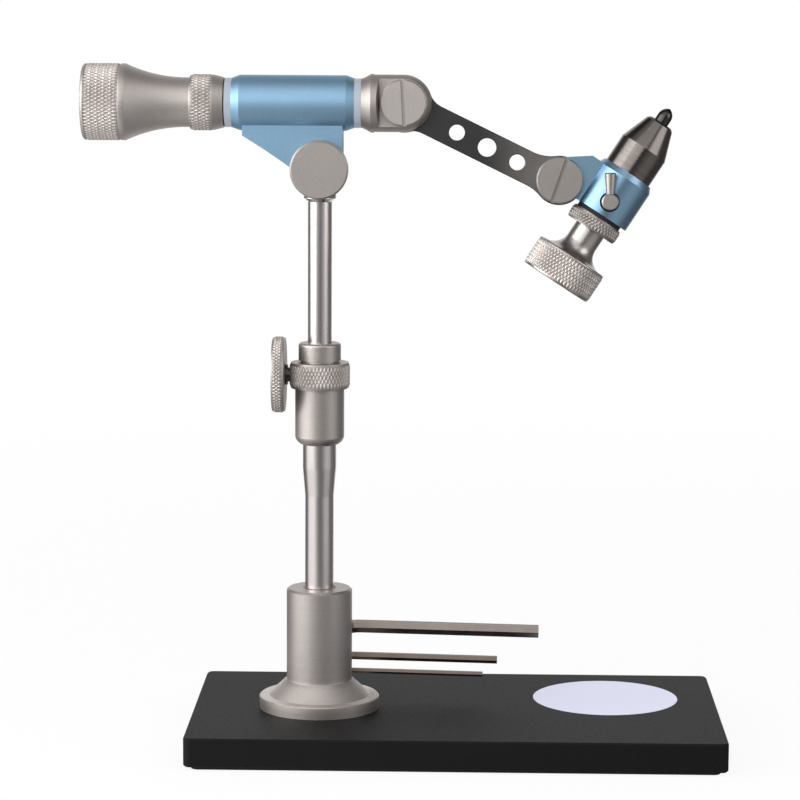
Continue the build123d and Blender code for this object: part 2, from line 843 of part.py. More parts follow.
def jaw_arm():
    bar = Pos(arm_length / 2, -arm_drop) * Rectangle(arm_length, arm_width)
    ends = Circle(arm_elbow_radius) + Pos(arm_length) * Circle(arm_wrist_radius)
    outline = bar + ends
    corners = outline.vertices().filter_by_position(Axis.X, 0, arm_length).sort_by(Axis.X)
    outline = fillet(corners[:2], arm_elbow_fillet)
    corners = outline.vertices().filter_by_position(Axis.X, arm_length / 2, arm_length).sort_by(Axis.X)
    outline = fillet(corners[-2:], arm_wrist_fillet)
    last_hole = arm_length - arm_last_hole
    for place, diameter in (
        (arm_first_hole, arm_end_hole_diameter),
        ((arm_first_hole + last_hole) / 2, arm_middle_hole_diameter),
        (last_hole, arm_end_hole_diameter),
    ):
        outline -= Pos(place, -arm_drop) * Circle(diameter / 2)
    for place in (0, arm_length):
        outline -= Pos(place) * Circle(pivot_shank_diameter / 2 + running_clearance)
    plate = extrude(outline, arm_thickness / 2, both=True)
    rims = plate.faces().sort_by(Axis.Z)[0].edges() + plate.faces().sort_by(Axis.Z)[-1].edges()
    return elbow_frame * Rot(0, 0, -arm_fall) * chamfer(rims, arm_edge_chamfer)


def elbow_washers():
    ring = Circle(elbow_washer_diameter / 2) - Circle(pivot_shank_diameter / 2 + running_clearance)
    start = arm_thickness / 2 + face_clearance
    washers = []
    for side in (-1, 1):
        washer = Pos(0, 0, side * start) * extrude(ring, side * elbow_washer_thickness)
        washers.append((elbow_frame * washer).solid())
    return Compound(washers)


def jaw_point(side, back):
    """Point of the wrist frame's plane, side to the arm's side of the jaw axis, back behind the tip."""
    x = tip_x - back * jaw_along[0] - side * jaw_along[1] - wrist_x
    z = tip_z - back * jaw_along[1] + side * jaw_along[0] - wrist_z
    return (x, z)


def jaw_holder():
    outer = holder_diameter / 2
    body = turned_points(
        (0, -holder_rear), (outer, -holder_rear), (outer, -holder_front - holder_chamfer_length),
        (outer - holder_chamfer_depth, -holder_front), (0, -holder_front),
    )
    foot_turn = radians(holder_lug_foot_angle)
    foot = jaw_point(
        wrist_side - holder_fork_radius * sin(foot_turn), wrist_back + holder_fork_radius * cos(foot_turn)
    )
    lug_start = holder_front + holder_lug_start
    outline = make_face(Polyline(
        (0, 0), (0, holder_fork_radius), jaw_point(holder_lug_side, lug_start), jaw_point(0, lug_start),
        jaw_point(0, holder_rear), jaw_point(holder_lug_foot, holder_rear), foot, close=True,
    ))
    fork = extrude(outline + Circle(holder_fork_radius), holder_fork_thickness / 2, both=True)
    slot = rod(2 * (arm_wrist_radius + arm_end_gap), -arm_thickness / 2 - face_clearance,
               arm_thickness / 2 + face_clearance)
    pivot = rod(pivot_shank_diameter, -holder_fork_thickness, holder_fork_thickness)
    body = jaw_frame * body + wrist_frame * fork
    body -= wrist_frame * (slot + pivot)
    body -= jaw_frame * rod(collet_stem_diameter + 2 * running_clearance, -holder_rear, -holder_front)
    recess = rod(lock_head_diameter + 2 * lock_recess_clearance, lock_seat, holder_diameter)
    return body - lock_frame * (recess + rod(lock_shank_diameter + 2 * running_clearance, 0, lock_seat))


def lock_screw():
    start = collet_stem_diameter / 2 + 2 * running_clearance
    seat = lock_seat + face_clearance
    top = seat + lock_head_rise + lock_head_sink
    head = lock_head_diameter / 2
    body = turned_points(
        (0, start), (lock_shank_diameter / 2, start), (lock_shank_diameter / 2, seat), (head, seat),
        (head, top - lock_head_chamfer), (head - lock_head_chamfer, top), (0, top),
    )
    handle_hole = rod(lock_handle_root_diameter, head - lock_handle_depth, head)
    return lock_frame * body - lock_handle_place() * handle_hole


def lock_handle_place():
    """Frame of the handle, its Z pointing straight up from the lock screw's axis."""
    height = holder_diameter / 2 + lock_handle_height
    centre = lock_frame.from_local_coords(Vector(0, 0, height))
    return Plane(centre, x_dir=(1, 0, 0), z_dir=(0, 0, 1))


def lock_handle():
    root = lock_handle_root_diameter / 2
    tip = lock_handle_tip_diameter / 2
    outside = lock_head_diameter / 2
    inside = outside - lock_handle_depth
    edge = lock_handle_chamfer
    return lock_handle_place() * turned_points(
        (0, inside), (root, inside), (root, outside), (tip, lock_handle_reach - edge),
        (tip - edge, lock_handle_reach), (0, lock_handle_reach),
    )


def jaw_half():
    """Jaw on the tyer's side of the jaw axis, in the jaw frame."""
    tip = jaw_tip_diameter / 2
    tail = jaw_tail_diameter / 2
    tail_end = jaw_pin_back - jaw_tail_stop
    bulge = (jaw_ogive_bulge_diameter / 2, -jaw_ogive_bulge_length)
    ogive = ThreePointArc((0, 0), bulge, (tip, -jaw_ogive_length))
    rest = Polyline(
        (tip, -jaw_ogive_length), (tip, -nose_back), (jaw_taper_end_diameter / 2, -jaw_taper_end),
        (tail, -jaw_taper_end), (tail, -tail_end), (0, -tail_end), (0, 0),
    )
    blank = turned(ogive, *rest.edges())
    half = (Align.CENTER, Align.MAX, Align.MAX)
    front = Pos(0, -jaw_grip_gap / 2) * Box(jaw_tip_diameter, jaw_tip_diameter, tail_end, align=half)
    relief_align = (Align.CENTER, Align.CENTER, Align.MAX)
    relief_length = tail_end - jaw_grip_length
    relief = Box(jaw_tip_diameter, jaw_relief_gap, relief_length, align=relief_align)
    jaw = common(blank, front) - Pos(0, 0, -jaw_grip_length) * relief
    eye = Pos(face_clearance, 0, -jaw_pin_back) * Rot(0, 90, 0) * Cylinder(
        jaw_eye_diameter / 2, jaw_eye_width, align=from_below
    )
    link_height = tail - jaw_relief_gap / 2
    link_middle = -(tail + jaw_relief_gap / 2) / 2
    link = Pos(face_clearance, link_middle, -jaw_pin_back) * Box(
        jaw_eye_width, link_height, jaw_tail_stop, align=(Align.MIN, Align.CENTER, Align.MIN)
    )
    pin = Pos(0, 0, -jaw_pin_back) * Rot(0, 90, 0) * rod(
        jaw_pin_diameter + 2 * running_clearance, -draw_head_diameter, draw_head_diameter
    )
    return jaw + eye + link - pin


def front_jaw():
    return jaw_frame * jaw_half()


def rear_jaw():
    return jaw_frame * Rot(0, 0, 180) * jaw_half()


def jaw_pin():
    half = draw_head_diameter / 2 - hole_clearance
    return jaw_frame * Pos(0, 0, -jaw_pin_back) * Rot(0, 90, 0) * rod(jaw_pin_diameter, -half, half)


def draw_bar():
    front = -jaw_pin_back + draw_head_front
    back = -jaw_pin_back - draw_head_back
    bar = rod(draw_head_diameter, back, front) + rod(draw_bar_diameter, -draw_bar_end, back)
    slot_width = 2 * (jaw_eye_width + face_clearance + draw_slot_clearance)
    slot_back = -jaw_pin_back - draw_slot_back
    bar -= Pos(0, 0, slot_back) * Box(slot_width, draw_head_diameter, front - slot_back, align=from_below)
    half = draw_head_diameter / 2 - hole_clearance
    return jaw_frame * (bar - Pos(0, 0, -jaw_pin_back) * Rot(0, 90, 0) * rod(jaw_pin_diameter, -half, half))


def collet():
    outer = collet_diameter / 2
    nose = nose_diameter / 2
    stem = collet_stem_diameter / 2
    round_off = nose_edge_radius
    shoulder = holder_front - face_clearance
    outside = turned_points(
        (0, -nose_back), (nose - round_off, -nose_back), (nose, -nose_back - round_off), (outer, -cone_back),
        (outer, -shoulder), (stem, -shoulder), (stem, -stem_end), (0, -stem_end),
    )
    mouth = jaw_tip_diameter / 2 + jaw_clearance
    throat = jaw_taper_end_diameter / 2 + jaw_clearance
    relief = throat + collet_throat_clearance
    chamber = draw_head_diameter / 2 + running_clearance
    guide = draw_bar_diameter / 2 + running_clearance
    inside = turned_points(
        (0, -nose_back), (mouth, -nose_back), (throat, -jaw_taper_end), (relief, -jaw_taper_end),
        (relief, -collet_chamber_start), (chamber, -collet_chamber_start), (chamber, -chamber_end),
        (guide, -chamber_end), (guide, -stem_end), (0, -stem_end),
    )
    return jaw_frame * (outside - inside)


def collet_washer():
    front = -holder_rear - face_clearance
    washer = rod(collet_washer_diameter, -washer_rear, front)
    return jaw_frame * (washer - rod(collet_stem_diameter, -washer_rear, front))


def lock_ring():
    ring = chamfered_disc(lock_ring_diameter, -stem_end, -lock_ring_front, lock_ring_chamfer)
    bore = rod(collet_stem_diameter + 2 * running_clearance, -stem_end, -lock_ring_front)
    return jaw_frame * (ring - bore)


def jaw_knob():
    neck = jaw_knob_neck_diameter / 2
    outer = jaw_knob_diameter / 2
    edge = jaw_knob_edge_radius
    flare_start = (neck, -jaw_knob_front - jaw_knob_neck_length)
    flare_end = (neck + jaw_knob_flare, -jaw_knob_face)
    flare = RadiusArc(flare_start, flare_end, -jaw_knob_flare)
    front_rim = RadiusArc((outer - edge, -jaw_knob_face), (outer, -jaw_knob_face - edge), edge)
    rear_rim = RadiusArc((outer, -jaw_knob_rear + edge), (outer - edge, -jaw_knob_rear), edge)
    start = Polyline((0, -jaw_knob_rear), (0, -jaw_knob_front), (neck, -jaw_knob_front), flare_start)
    face = Line(flare_end, (outer - edge, -jaw_knob_face))
    side = Line((outer, -jaw_knob_face - edge), (outer, -jaw_knob_rear + edge))
    back = Line((outer - edge, -jaw_knob_rear), (0, -jaw_knob_rear))
    knob = turned(*start.edges(), flare, face, front_rim, side, rear_rim, back)
    bore = rod(draw_bar_diameter + 2 * running_clearance, -jaw_knob_rear + jaw_knob_floor, -jaw_knob_front)
    return jaw_frame * (knob - bore)


pieces = {
    "base_pad": base_pad(),
    "base_plate": base_plate(),
    "inlay_disc": inlay_disc(),
    "pedestal": pedestal(),
    "base_bolt": base_bolt(),
    "post_screw": post_screw(),
    "lower_post": lower_post(),
    "clamp_collar": clamp_collar(),
    "collar_ring": collar_ring(),
    "large_hex_key": hex_key(
        large_key_size, large_key_long, large_key_short, large_key_height, large_key_insert
    ),
    "middle_hex_key": hex_key(
        middle_key_size, middle_key_long, middle_key_short, middle_key_height, middle_key_insert
    ),
    "small_hex_key": hex_key(
        small_key_size, small_key_long, small_key_short, small_key_height, small_key_insert
    ),
    "clamp_pad": clamp_pad(),
    "clamp_screw": clamp_screw(),
    "clamp_wheel": clamp_wheel(),
    "rod_guide": rod_guide(),
    "upper_rod": upper_rod(),
    "barrel": barrel(),
    "tilt_pivot": tilt_pivot(),
    "tilt_washer": tilt_washer(),
    "tilt_screw": tilt_screw(),
    "rear_bush": bush(barrel_rear, 1),
    "front_bush": bush(barrel_front, -1),
    "spindle": spindle(),
    "drag_washer": drag_washer(),
    "drag_ring": drag_ring(),
    "rear_knob": rear_knob(),
    "knob_screw": knob_screw(),
    "clevis": leaned * clevis(),
    "elbow_screw": leaned * elbow_screw(),
    "elbow_nut": leaned * elbow_nut(),
    "elbow_washers": leaned * elbow_washers(),
    "jaw_arm": leaned * jaw_arm(),
    "wrist_screw": leaned * wrist_screw(),
    "wrist_nut": leaned * wrist_nut(),
    "jaw_holder": leaned * jaw_holder(),
    "lock_screw": leaned * lock_screw(),
    "lock_handle": leaned * lock_handle(),
    "collet": leaned * collet(),
    "collet_washer": leaned * collet_washer(),
    "lock_ring": leaned * lock_ring(),
    "front_jaw": leaned * front_jaw(),
    "rear_jaw": leaned * rear_jaw(),
    "jaw_pin": leaned * jaw_pin(),
    "draw_bar": leaned * draw_bar(),
    "jaw_knob": leaned * jaw_knob(),
}

os.makedirs("parts", exist_ok=True)
for name, piece in pieces.items():
    export_step(piece, f"parts/{name}.step")
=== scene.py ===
import json
from math import asin, cos, degrees, hypot, pi, radians, sin

import bpy
from mathutils import Matrix, Vector

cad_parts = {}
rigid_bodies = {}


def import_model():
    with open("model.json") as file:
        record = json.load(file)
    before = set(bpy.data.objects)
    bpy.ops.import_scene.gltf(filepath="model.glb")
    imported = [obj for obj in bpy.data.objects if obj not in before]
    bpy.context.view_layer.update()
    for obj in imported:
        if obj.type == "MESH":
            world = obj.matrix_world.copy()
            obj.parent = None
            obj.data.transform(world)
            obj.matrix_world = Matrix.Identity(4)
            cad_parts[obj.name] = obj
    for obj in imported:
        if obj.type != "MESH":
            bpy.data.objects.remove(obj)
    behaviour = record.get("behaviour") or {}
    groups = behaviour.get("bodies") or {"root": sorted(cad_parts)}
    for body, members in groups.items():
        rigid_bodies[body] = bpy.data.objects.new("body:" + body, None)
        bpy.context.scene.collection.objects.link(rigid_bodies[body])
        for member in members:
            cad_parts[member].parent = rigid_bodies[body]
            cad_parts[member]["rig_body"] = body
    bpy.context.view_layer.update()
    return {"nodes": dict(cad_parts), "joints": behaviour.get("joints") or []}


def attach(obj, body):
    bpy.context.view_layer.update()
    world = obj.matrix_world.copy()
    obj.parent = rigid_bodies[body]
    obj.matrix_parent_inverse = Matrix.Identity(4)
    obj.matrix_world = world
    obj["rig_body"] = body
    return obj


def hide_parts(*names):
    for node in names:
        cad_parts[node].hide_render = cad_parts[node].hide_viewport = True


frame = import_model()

bl_info = {
    "name": "Fly Tying Vise",
    "version": (1, 0, 0),
    "blender": (4, 5, 0),
    "location": "View3D > Sidebar > Vise",
    "description": "Finishes the pieces of a fly tying vise and sets up its studio",
    "category": "Object",
}

MM = 0.001
KNURL_HIGHLIGHT = "relief"
KNURL_ANGLE = radians(30.0)
ARM_FALL = radians(25.9)
RUNNING_GAP = 0.04 * MM
SKIN = 0.1 * MM
KNURL_LAND = 0.2 * MM
FLARE_LAND = 0.3 * MM
ALONG_X = (1.0, 0.0, 0.0)
ALONG_Y = (0.0, 1.0, 0.0)
ALONG_Z = (0.0, 0.0, 1.0)
FLOOR_SIZE = 6.0
FLOOR_PLACE = (0.0, -0.5, 0.0)
BACKDROP_FROM = 2.0
BACKDROP_HEIGHT = 2.5
BACKDROP_BEND = 1.2
# Soft lights by the name of their power: place, target, width and height
LIGHTS = {
    "key": ((-1.19, -0.53, 0.7), (0.0, 0.0, 0.7), 1.4, 1.2),
    "fill": ((1.16, -0.57, 0.62), (0.0, 0.0, 0.62), 0.78, 0.9),
    "top": ((0.0, -0.75, 1.15), (0.0, 0.0, 0.22), 1.4, 0.8),
    "front": ((-0.42, -1.44, 0.72), (0.0, 0.0, 0.22), 1.1, 0.7),
}
# Grey of the room by bearing: behind at both ends, the camera's side in the middle, the left before it
ROOM = (
    (0.0, 1.0), (0.07, 1.0), (0.1, 0.14), (0.21, 0.18), (0.255, 1.0), (0.38, 1.0), (0.435, 0.4), (0.47, 0.17),
    (0.54, 0.16), (0.58, 0.4), (0.625, 0.55), (0.7, 0.5), (0.745, 0.18), (0.9, 0.14), (0.93, 1.0), (1.0, 1.0),
)


def length(name, description, millimetres):
    """Property for a size, given in millimetres and kept in metres."""
    return bpy.props.FloatProperty(
        name=name, description=description, default=millimetres * MM, min=0.0, unit="LENGTH", precision=5
    )


def colour(name, description, red, green, blue):
    """Property for a linear colour."""
    return bpy.props.FloatVectorProperty(
        name=name, description=description, subtype="COLOR", size=3, min=0.0, max=1.0,
        default=(red, green, blue),
    )


def level(name, description, default, top=1.0):
    """Property for a plain share or strength."""
    return bpy.props.FloatProperty(name=name, description=description, default=default, min=0.0, max=top)


class ViseColours(bpy.types.PropertyGroup):
    """Colours of the vise's finishes."""

    satin: colour("Satin grey", "Bead-blasted aluminium of the knobs and collar", 0.475, 0.437, 0.415)
    anodised: colour("Blue", "Anodised barrel and jaw holder", 0.28, 0.455, 0.615)
    polished: colour("Polished steel", "Posts, spindle and draw bar", 0.7, 0.655, 0.645)
    bright: colour("Bright steel", "Lever and small screws", 0.45, 0.42, 0.39)
    gunmetal: colour("Gunmetal", "Oxide on the turned nose", 0.165, 0.148, 0.138)
    oxide: colour("Oxide black", "Jaws, stem and grub screws", 0.07, 0.066, 0.064)
    arm: colour("Arm black", "Satin black jaw arm", 0.058, 0.058, 0.058)
    paint: colour("Base black", "Textured paint of the base", 0.0038, 0.0038, 0.0041)
    inlay: colour("Inlay", "White disc in the base", 0.715, 0.725, 0.91)
    bush: colour("Bush", "Bluish bush flanges", 0.345, 0.39, 0.44)
    key: colour("Key steel", "Oiled steel of the large hex key", 0.3, 0.262, 0.24)
    dark_key: colour("Dark key steel", "Browned steel of the smaller hex keys", 0.19, 0.157, 0.138)
    # The dark washers' black is partly painted shade in the thin gap at the drag ring.
    fibre: colour("Fibre", "Dark washers", 0.02, 0.02, 0.022)
    brass: colour("Brass", "Clamp pad", 0.62, 0.42, 0.16)
    rubber: colour("Rubber", "Pad under the base", 0.02, 0.02, 0.02)


class ViseSizes(bpy.types.PropertyGroup):
    """Sizes of the detail that the turned pieces carry."""

    knurl_pitch: length("Knurl pitch", "Distance between two knurl grooves, square to them", 1.35)
    knurl_depth: length("Knurl depth", "From the bottom of a groove to the top of a diamond", 0.36)
    knurl_side: length("Knurl side", "Width of a diamond's sloping side", 0.47)
    # Knurl diamonds get a painted highlight; the grooves are made darker.
    knurl_highlight_level: level("Knurl brightness", "How much brighter than plain metal a diamond is", 0.5, 2.0)
    knurl_dark: level("Knurl darkness", "How much darker than plain metal a groove is", 0.16)
    knob_neck: length("Knob neck", "Radius of the rear knob's front end", 10.15)
    knob_neck_length: length("Knob neck length", "Straight stretch at the rear knob's front end", 1.5)
    knob_flare: length("Knob flare", "Length of the rear knob's hollow flare", 25.0)
    knob_land: length("Knob land", "Plain ring in front of the rear knob's knurl", 2.0)
    knob_rim: length("Knob rim", "Rounding of the rear knob's end", 1.3)
    knob_bore: length("Knob bore", "Depth of the spindle's seat in the rear knob", 34.0)
    spindle: length("Spindle", "Radius of the spindle", 5.0)
    drag_cone: length("Drag ring cone", "Length of the drag ring's cone", 4.4)
    drag_end: length("Drag ring end", "Radius of the drag ring's small end", 10.3)
    drag_chamfer: length("Drag ring chamfer", "Chamfer behind the drag ring's knurl", 0.6)
    collar: length("Collar", "Radius of the clamp collar inside its ring", 10.2)
    collar_chamfer: length("Collar ring chamfer", "Chamfer of the collar ring", 0.6)
    stem: length("Clamp stem", "Radius of the clamp screw", 3.0)
    stem_way: length("Clamp stem way", "Radius of the clamp screw's hole in the collar ring", 3.04)
    wheel_chamfer: length("Wheel chamfer", "Chamfer of the clamp wheel", 0.6)
    cone_low: length("Cone foot", "Height at which the pedestal's cone starts", 19.0)
    cone_high: length("Cone top", "Height at which the pedestal's cone ends", 25.6)
    # Radius of the painted shade in the recess round the lock screw.
    lock_recess_shade: length("Lock recess", "Radius of the recess round the lock screw", 4.05)
    sleeve: length("Jaw sleeve", "Radius of the collet's stem", 9.04)
    lock_chamfer: length("Lock ring chamfer", "Chamfer of the lock ring", 0.5)
    grip_neck: length("Jaw knob neck", "Radius of the jaw knob's neck", 6.65)
    grip_flare: length("Jaw knob flare", "Radius of the hollow behind the jaw knob's neck", 6.8)
    grip_head: length("Jaw knob head", "Length of the jaw knob's knurled head", 13.0)
    grip_rim: length("Jaw knob rim", "Rounding of the jaw knob's rims", 0.8)
    grip_bore: length("Jaw knob bore", "Radius of the draw bar's way in the jaw knob", 3.04)
    grip_floor: length("Jaw knob floor", "Metal behind the draw bar", 3.0)


class ViseStudio(bpy.types.PropertyGroup):
    """Camera, floor and lights."""

    camera: bpy.props.FloatVectorProperty(
        name="Camera", description="Place of the camera", subtype="TRANSLATION", unit="LENGTH",
        default=(0.00194, -1.22615, 0.31542),
    )
    aim: bpy.props.FloatVectorProperty(
        name="Aim", description="Yaw, pitch and roll of the camera", subtype="EULER", unit="ROTATION",
        default=(radians(-1.226), radians(-7.977), radians(0.303)),
    )
    lens: bpy.props.FloatProperty(
        name="Lens", description="Focal length in millimetres on a 36 mm sensor", default=133.97, min=1.0
    )
    floor: colour("Floor", "Floor and backdrop", 0.9, 0.9, 0.91)
    glow: level("Floor glow", "Share of plain white that the camera sees on the floor by the vise", 0.9)
    sky: level("Sky", "Brightness of the room as light on dull surfaces", 0.52)
    ceiling: level("Ceiling", "Share of the room's brightness that shines overhead", 0.45)
    ground: level("Ground", "Brightness that metal shows of the floor at the vise's left", 0.58)
    key: level("Key light", "Power of the tall soft light at the left, in watts", 17.5, 200.0)
    fill: level("Fill light", "Power of the tall soft light at the right, in watts", 4.0, 200.0)
    top: level("Top light", "Power of the wide soft light overhead, in watts", 3.7, 200.0)
    front: level("Front light", "Power of the soft light above the camera, in watts", 4.3, 200.0)


class Flow:
    """Socket of a finish that takes part in sums; each sum adds a Math node."""

    def __init__(self, finish, socket):
        self.finish = finish
        self.socket = socket

    def combine(self, operation, first, second):
        return self.finish.add("ShaderNodeMath", {"operation": operation}, {0: first, 1: second})

    def __add__(self, other):
        return self.combine("ADD", self, other)

    def __radd__(self, other):
        return self.combine("ADD", other, self)

    def __sub__(self, other):
        return self.combine("SUBTRACT", self, other)

    def __rsub__(self, other):
        return self.combine("SUBTRACT", other, self)

    def __mul__(self, other):
        return self.combine("MULTIPLY", self, other)

    def __rmul__(self, other):
        return self.combine("MULTIPLY", other, self)


class Nodes:
    """Node tree to which every node comes through one method."""

    def __init__(self, tree):
        self.tree = tree
        tree.nodes.clear()

    def feed(self, socket, value):
        """Links a flow to a socket, or sets a plain value on it."""
        if isinstance(value, Flow):
            self.tree.links.new(value.socket, socket)
        else:
            socket.default_value = value

    def add(self, kind, settings=None, sockets=None, output=0):
        """Adds a node with its settings, then its sockets' values or links, and gives one output."""
        node = self.tree.nodes.new(kind)
        for name, value in (settings or {}).items():
            if name == "stops":
                self.set_stops(node.color_ramp, value)
            else:
                setattr(node, name, value)
        for name, value in (sockets or {}).items():
            self.feed(node.inputs[name], value)
        return Flow(self, node.outputs[output]) if len(node.outputs) else node

    def set_stops(self, ramp, stops):
        while len(ramp.elements) < len(stops):
            ramp.elements.new(1.0)
        for element, (position, grey) in zip(ramp.elements, stops):
            element.position = position
            element.color = (grey, grey, grey, 1.0)

    def ramp(self, value, *stops):
        """Grey ramp through (position, grey) stops."""
        return self.add("ShaderNodeValToRGB", {"stops": stops}, {"Fac": value})

    def dot(self, vector, axis):
        """Share of a vector along a direction."""
        return self.add("ShaderNodeVectorMath", {"operation": "DOT_PRODUCT"}, {0: vector, 1: axis}, "Value")

    def shade(self, base, amount):
        """Colour scaled by a varying amount."""
        colour = base if isinstance(base, Flow) else tuple(base)
        return self.add("ShaderNodeVectorMath", {"operation": "SCALE"}, {0: colour, "Scale": amount})

    def light_path(self, output):
        return self.add("ShaderNodeLightPath", output=output)

    def room(self, place):
        """Brightness of the room that metal shows, by the bearing of a place round the vise."""
        across, ahead = self.dot(place, ALONG_X), self.dot(place, (0.0, -1.0, 0.0))
        bearing = across.combine("ARCTAN2", across, ahead)
        return self.ramp(0.5 + bearing * (0.5 / pi), *ROOM)


class Finish(Nodes):
    """Node tree of one material, with a Principled shader at its end."""

    def __init__(self, name, **constants):
        self.material = bpy.data.materials.new(name)
        self.material.use_nodes = True
        super().__init__(self.material.node_tree)
        self.shader = self.tree.nodes.new("ShaderNodeBsdfPrincipled")
        self.output = self.tree.nodes.new("ShaderNodeOutputMaterial")
        self.tree.links.new(self.shader.outputs[0], self.output.inputs["Surface"])
        for socket, value in constants.items():
            self.shader.inputs[socket.replace("_", " ")].default_value = value
        self.place = self.add("ShaderNodeTexCoord", output="Object")

    def noise(self, scale, detail=2.0, roughness=0.5):
        """Noise on the piece, about one over scale metres across."""
        sockets = {"Vector": self.place, "Scale": scale, "Detail": detail, "Roughness": roughness}
        return self.add("ShaderNodeTexNoise", {}, sockets)

    def along(self, axis):
        """Distance along a direction of the piece."""
        return self.dot(self.place, axis)

    def lines(self, axis, scale, detail=3.0):
        """Fine lines square to a direction, as a turning tool or a belt leaves."""
        sockets = {"W": self.along(axis), "Scale": scale, "Detail": detail}
        return self.add("ShaderNodeTexNoise", {"noise_dimensions": "1D"}, sockets)

    def edges(self, width):
        """Mask of the edges, for wear and a painted edge highlight: one where the surface turns within the
        width, else none.
        """
        soft = self.add("ShaderNodeBevel", {"samples": 6}, {"Radius": width})
        plain = self.add("ShaderNodeNewGeometry", output="Normal")
        return self.ramp(1.0 - self.dot(soft, plain), (0.01, 0.0), (0.12, 1.0))

    def relief(self):
        """Tone of a knurl: a painted highlight on its diamonds, darker in its grooves, none elsewhere."""
        return self.add("ShaderNodeAttribute", {"attribute_name": KNURL_HIGHLIGHT}, output="Fac")

    def shaded_recess(self, hub, radius):
        """Mask of the painted shade in the recess round a joint's axis, on its front side."""
        away = self.add("ShaderNodeVectorMath", {"operation": "SUBTRACT"}, {0: self.place, 1: hub["pos_m"]})
        across = self.add("ShaderNodeVectorMath", {"operation": "CROSS_PRODUCT"}, {0: away, 1: hub["axis"]})
        span = self.add("ShaderNodeVectorMath", {"operation": "LENGTH"}, {0: across}, "Value")
        inside = self.ramp(span * (0.5 / radius), (0.495, 1.0), (0.505, 0.0))
        return inside * self.ramp(0.5 + 20.0 * self.dot(away, ALONG_Y), (0.5, 1.0), (0.52, 0.0))

    def blend(self, share, first, second):
        """Mix of two colours by a varying share."""
        sockets = {0: share, 6: self.opaque(first), 7: self.opaque(second)}
        return self.add("ShaderNodeMix", {"data_type": "RGBA"}, sockets, 2)

    def opaque(self, value):
        return value if isinstance(value, Flow) else (*value[:3], 1.0)

    def bump(self, height, strength, distance):
        sockets = {"Strength": strength, "Distance": distance, "Height": height}
        self.set(Normal=self.add("ShaderNodeBump", {}, sockets))

    def set(self, **sockets):
        """Feeds the shader's own sockets."""
        for name, value in sockets.items():
            self.feed(self.shader.inputs[name.replace("_", " ")], value)


def colours():
    return bpy.context.scene.vise_colours


def sizes():
    return bpy.context.scene.vise_sizes


def studio():
    return bpy.context.scene.vise_studio


def scaled(base, factor):
    """Colour made lighter or darker by a plain factor."""
    return [min(1.0, factor * part) for part in base]


def joint(name):
    return next(entry for entry in frame["joints"] if entry["name"] == name)


ALONG_JAW = tuple(joint("jaw_roll")["axis"])


def satin_metal(name, base, axis, gloss=0.4, ridges=0.05, hub=None, shaded_recess=0.0, band=None):
    """Bead-blasted metal with turning lines square to its axis, edges lighter from wear and a painted
    highlight, and a two-tone knurl: painted highlight on its diamonds, darker grooves.

    A joint given as the hub gets painted shade in the recess of the given radius round it.
    A band between two places along the axis gets painted light: it is made lighter.
    """
    finish = Finish(name, Metallic=1.0)
    grain = finish.noise(2200.0, 2.0)
    mottle = finish.noise(60.0, 3.0)
    turning = finish.lines(axis, 2400.0)
    passes = finish.lines(axis, 460.0, 2.0)
    wear_and_edge_highlight = finish.edges(0.35 * MM)
    relief = finish.relief()
    knurled = finish.ramp(relief.combine("ABSOLUTE", relief, 0.0), (0.0, 0.0), (0.1, 1.0))
    tone = 0.73 + 0.12 * mottle + 0.36 * grain + 0.06 * turning + ridges * (passes - 0.5)
    pale = scaled(base, 1.35)
    # Edges blend to a paler grey: partly wear, partly a painted highlight.
    metal = finish.blend(0.5 * wear_and_edge_highlight, finish.shade(base, tone), pale)
    if hub:
        # Painted shade: the recess round the hub is darkened.
        metal = finish.shade(metal, 1.0 - 0.93 * finish.shaded_recess(hub, shaded_recess))
    # Painted light: the band along the axis is made lighter.
    if band:
        low, high = band
        soft = 0.3 * MM
        place = finish.along(axis)
        lit_band = finish.ramp(place, (low - soft, 0.0), (low, 1.0), (high, 1.0), (high + soft, 0.0))
        metal = finish.shade(metal, 1.0 + 0.5 * lit_band)
    finish.set(
        # Knurls: painted highlight on the diamonds, darker grooves.
        Base_Color=finish.shade(metal, 1.0 + relief),
        Roughness=gloss + (0.54 - gloss) * knurled + 0.14 * grain - 0.08 * wear_and_edge_highlight,
    )
    finish.bump(0.7 * grain + 0.3 * turning, 0.2, 0.03 * MM)
    return finish.material


def polished_metal(name, base, axis, gloss=0.19):
    """Polished steel with fine lines left by the belt."""
    finish = Finish(name, Metallic=1.0)
    belt = finish.lines(axis, 5200.0, 4.0)
    cloud = finish.noise(110.0, 3.0)
    speck = finish.noise(1500.0, 3.0, 0.6)
    finish.set(
        Base_Color=finish.shade(base, 0.87 + 0.12 * cloud + 0.1 * belt + 0.04 * speck),
        Roughness=gloss + 0.08 * belt + 0.03 * speck,
    )
    finish.bump(0.8 * belt + 0.2 * speck, 0.06, 0.01 * MM)
    return finish.material


def oxide_metal(name, base, axis, gloss=0.18):
    """Oxide on turned steel, with the tool's lines in it, thin and brownish on the edges, which also get a
    painted highlight.
    """
    finish = Finish(name, Metallic=1.0)
    turning = finish.lines(axis, 2600.0, 3.0)
    passes = finish.lines(axis, 700.0, 2.0)
    cloud = finish.noise(160.0, 4.0, 0.6)
    wear_and_edge_highlight = finish.edges(0.3 * MM)
    rubbed = [min(1.0, scale * part) for scale, part in zip((2.2, 2.0, 1.9), base)]
    tone = 0.62 + 0.3 * cloud + 0.2 * turning + 0.26 * passes
    finish.set(
        Base_Color=finish.blend(0.45 * wear_and_edge_highlight, finish.shade(base, tone), rubbed),
        Roughness=gloss + 0.1 * cloud + 0.06 * turning - 0.05 * wear_and_edge_highlight,
    )
    finish.bump(0.6 * turning + 0.4 * passes, 0.12, 0.015 * MM)
    return finish.material


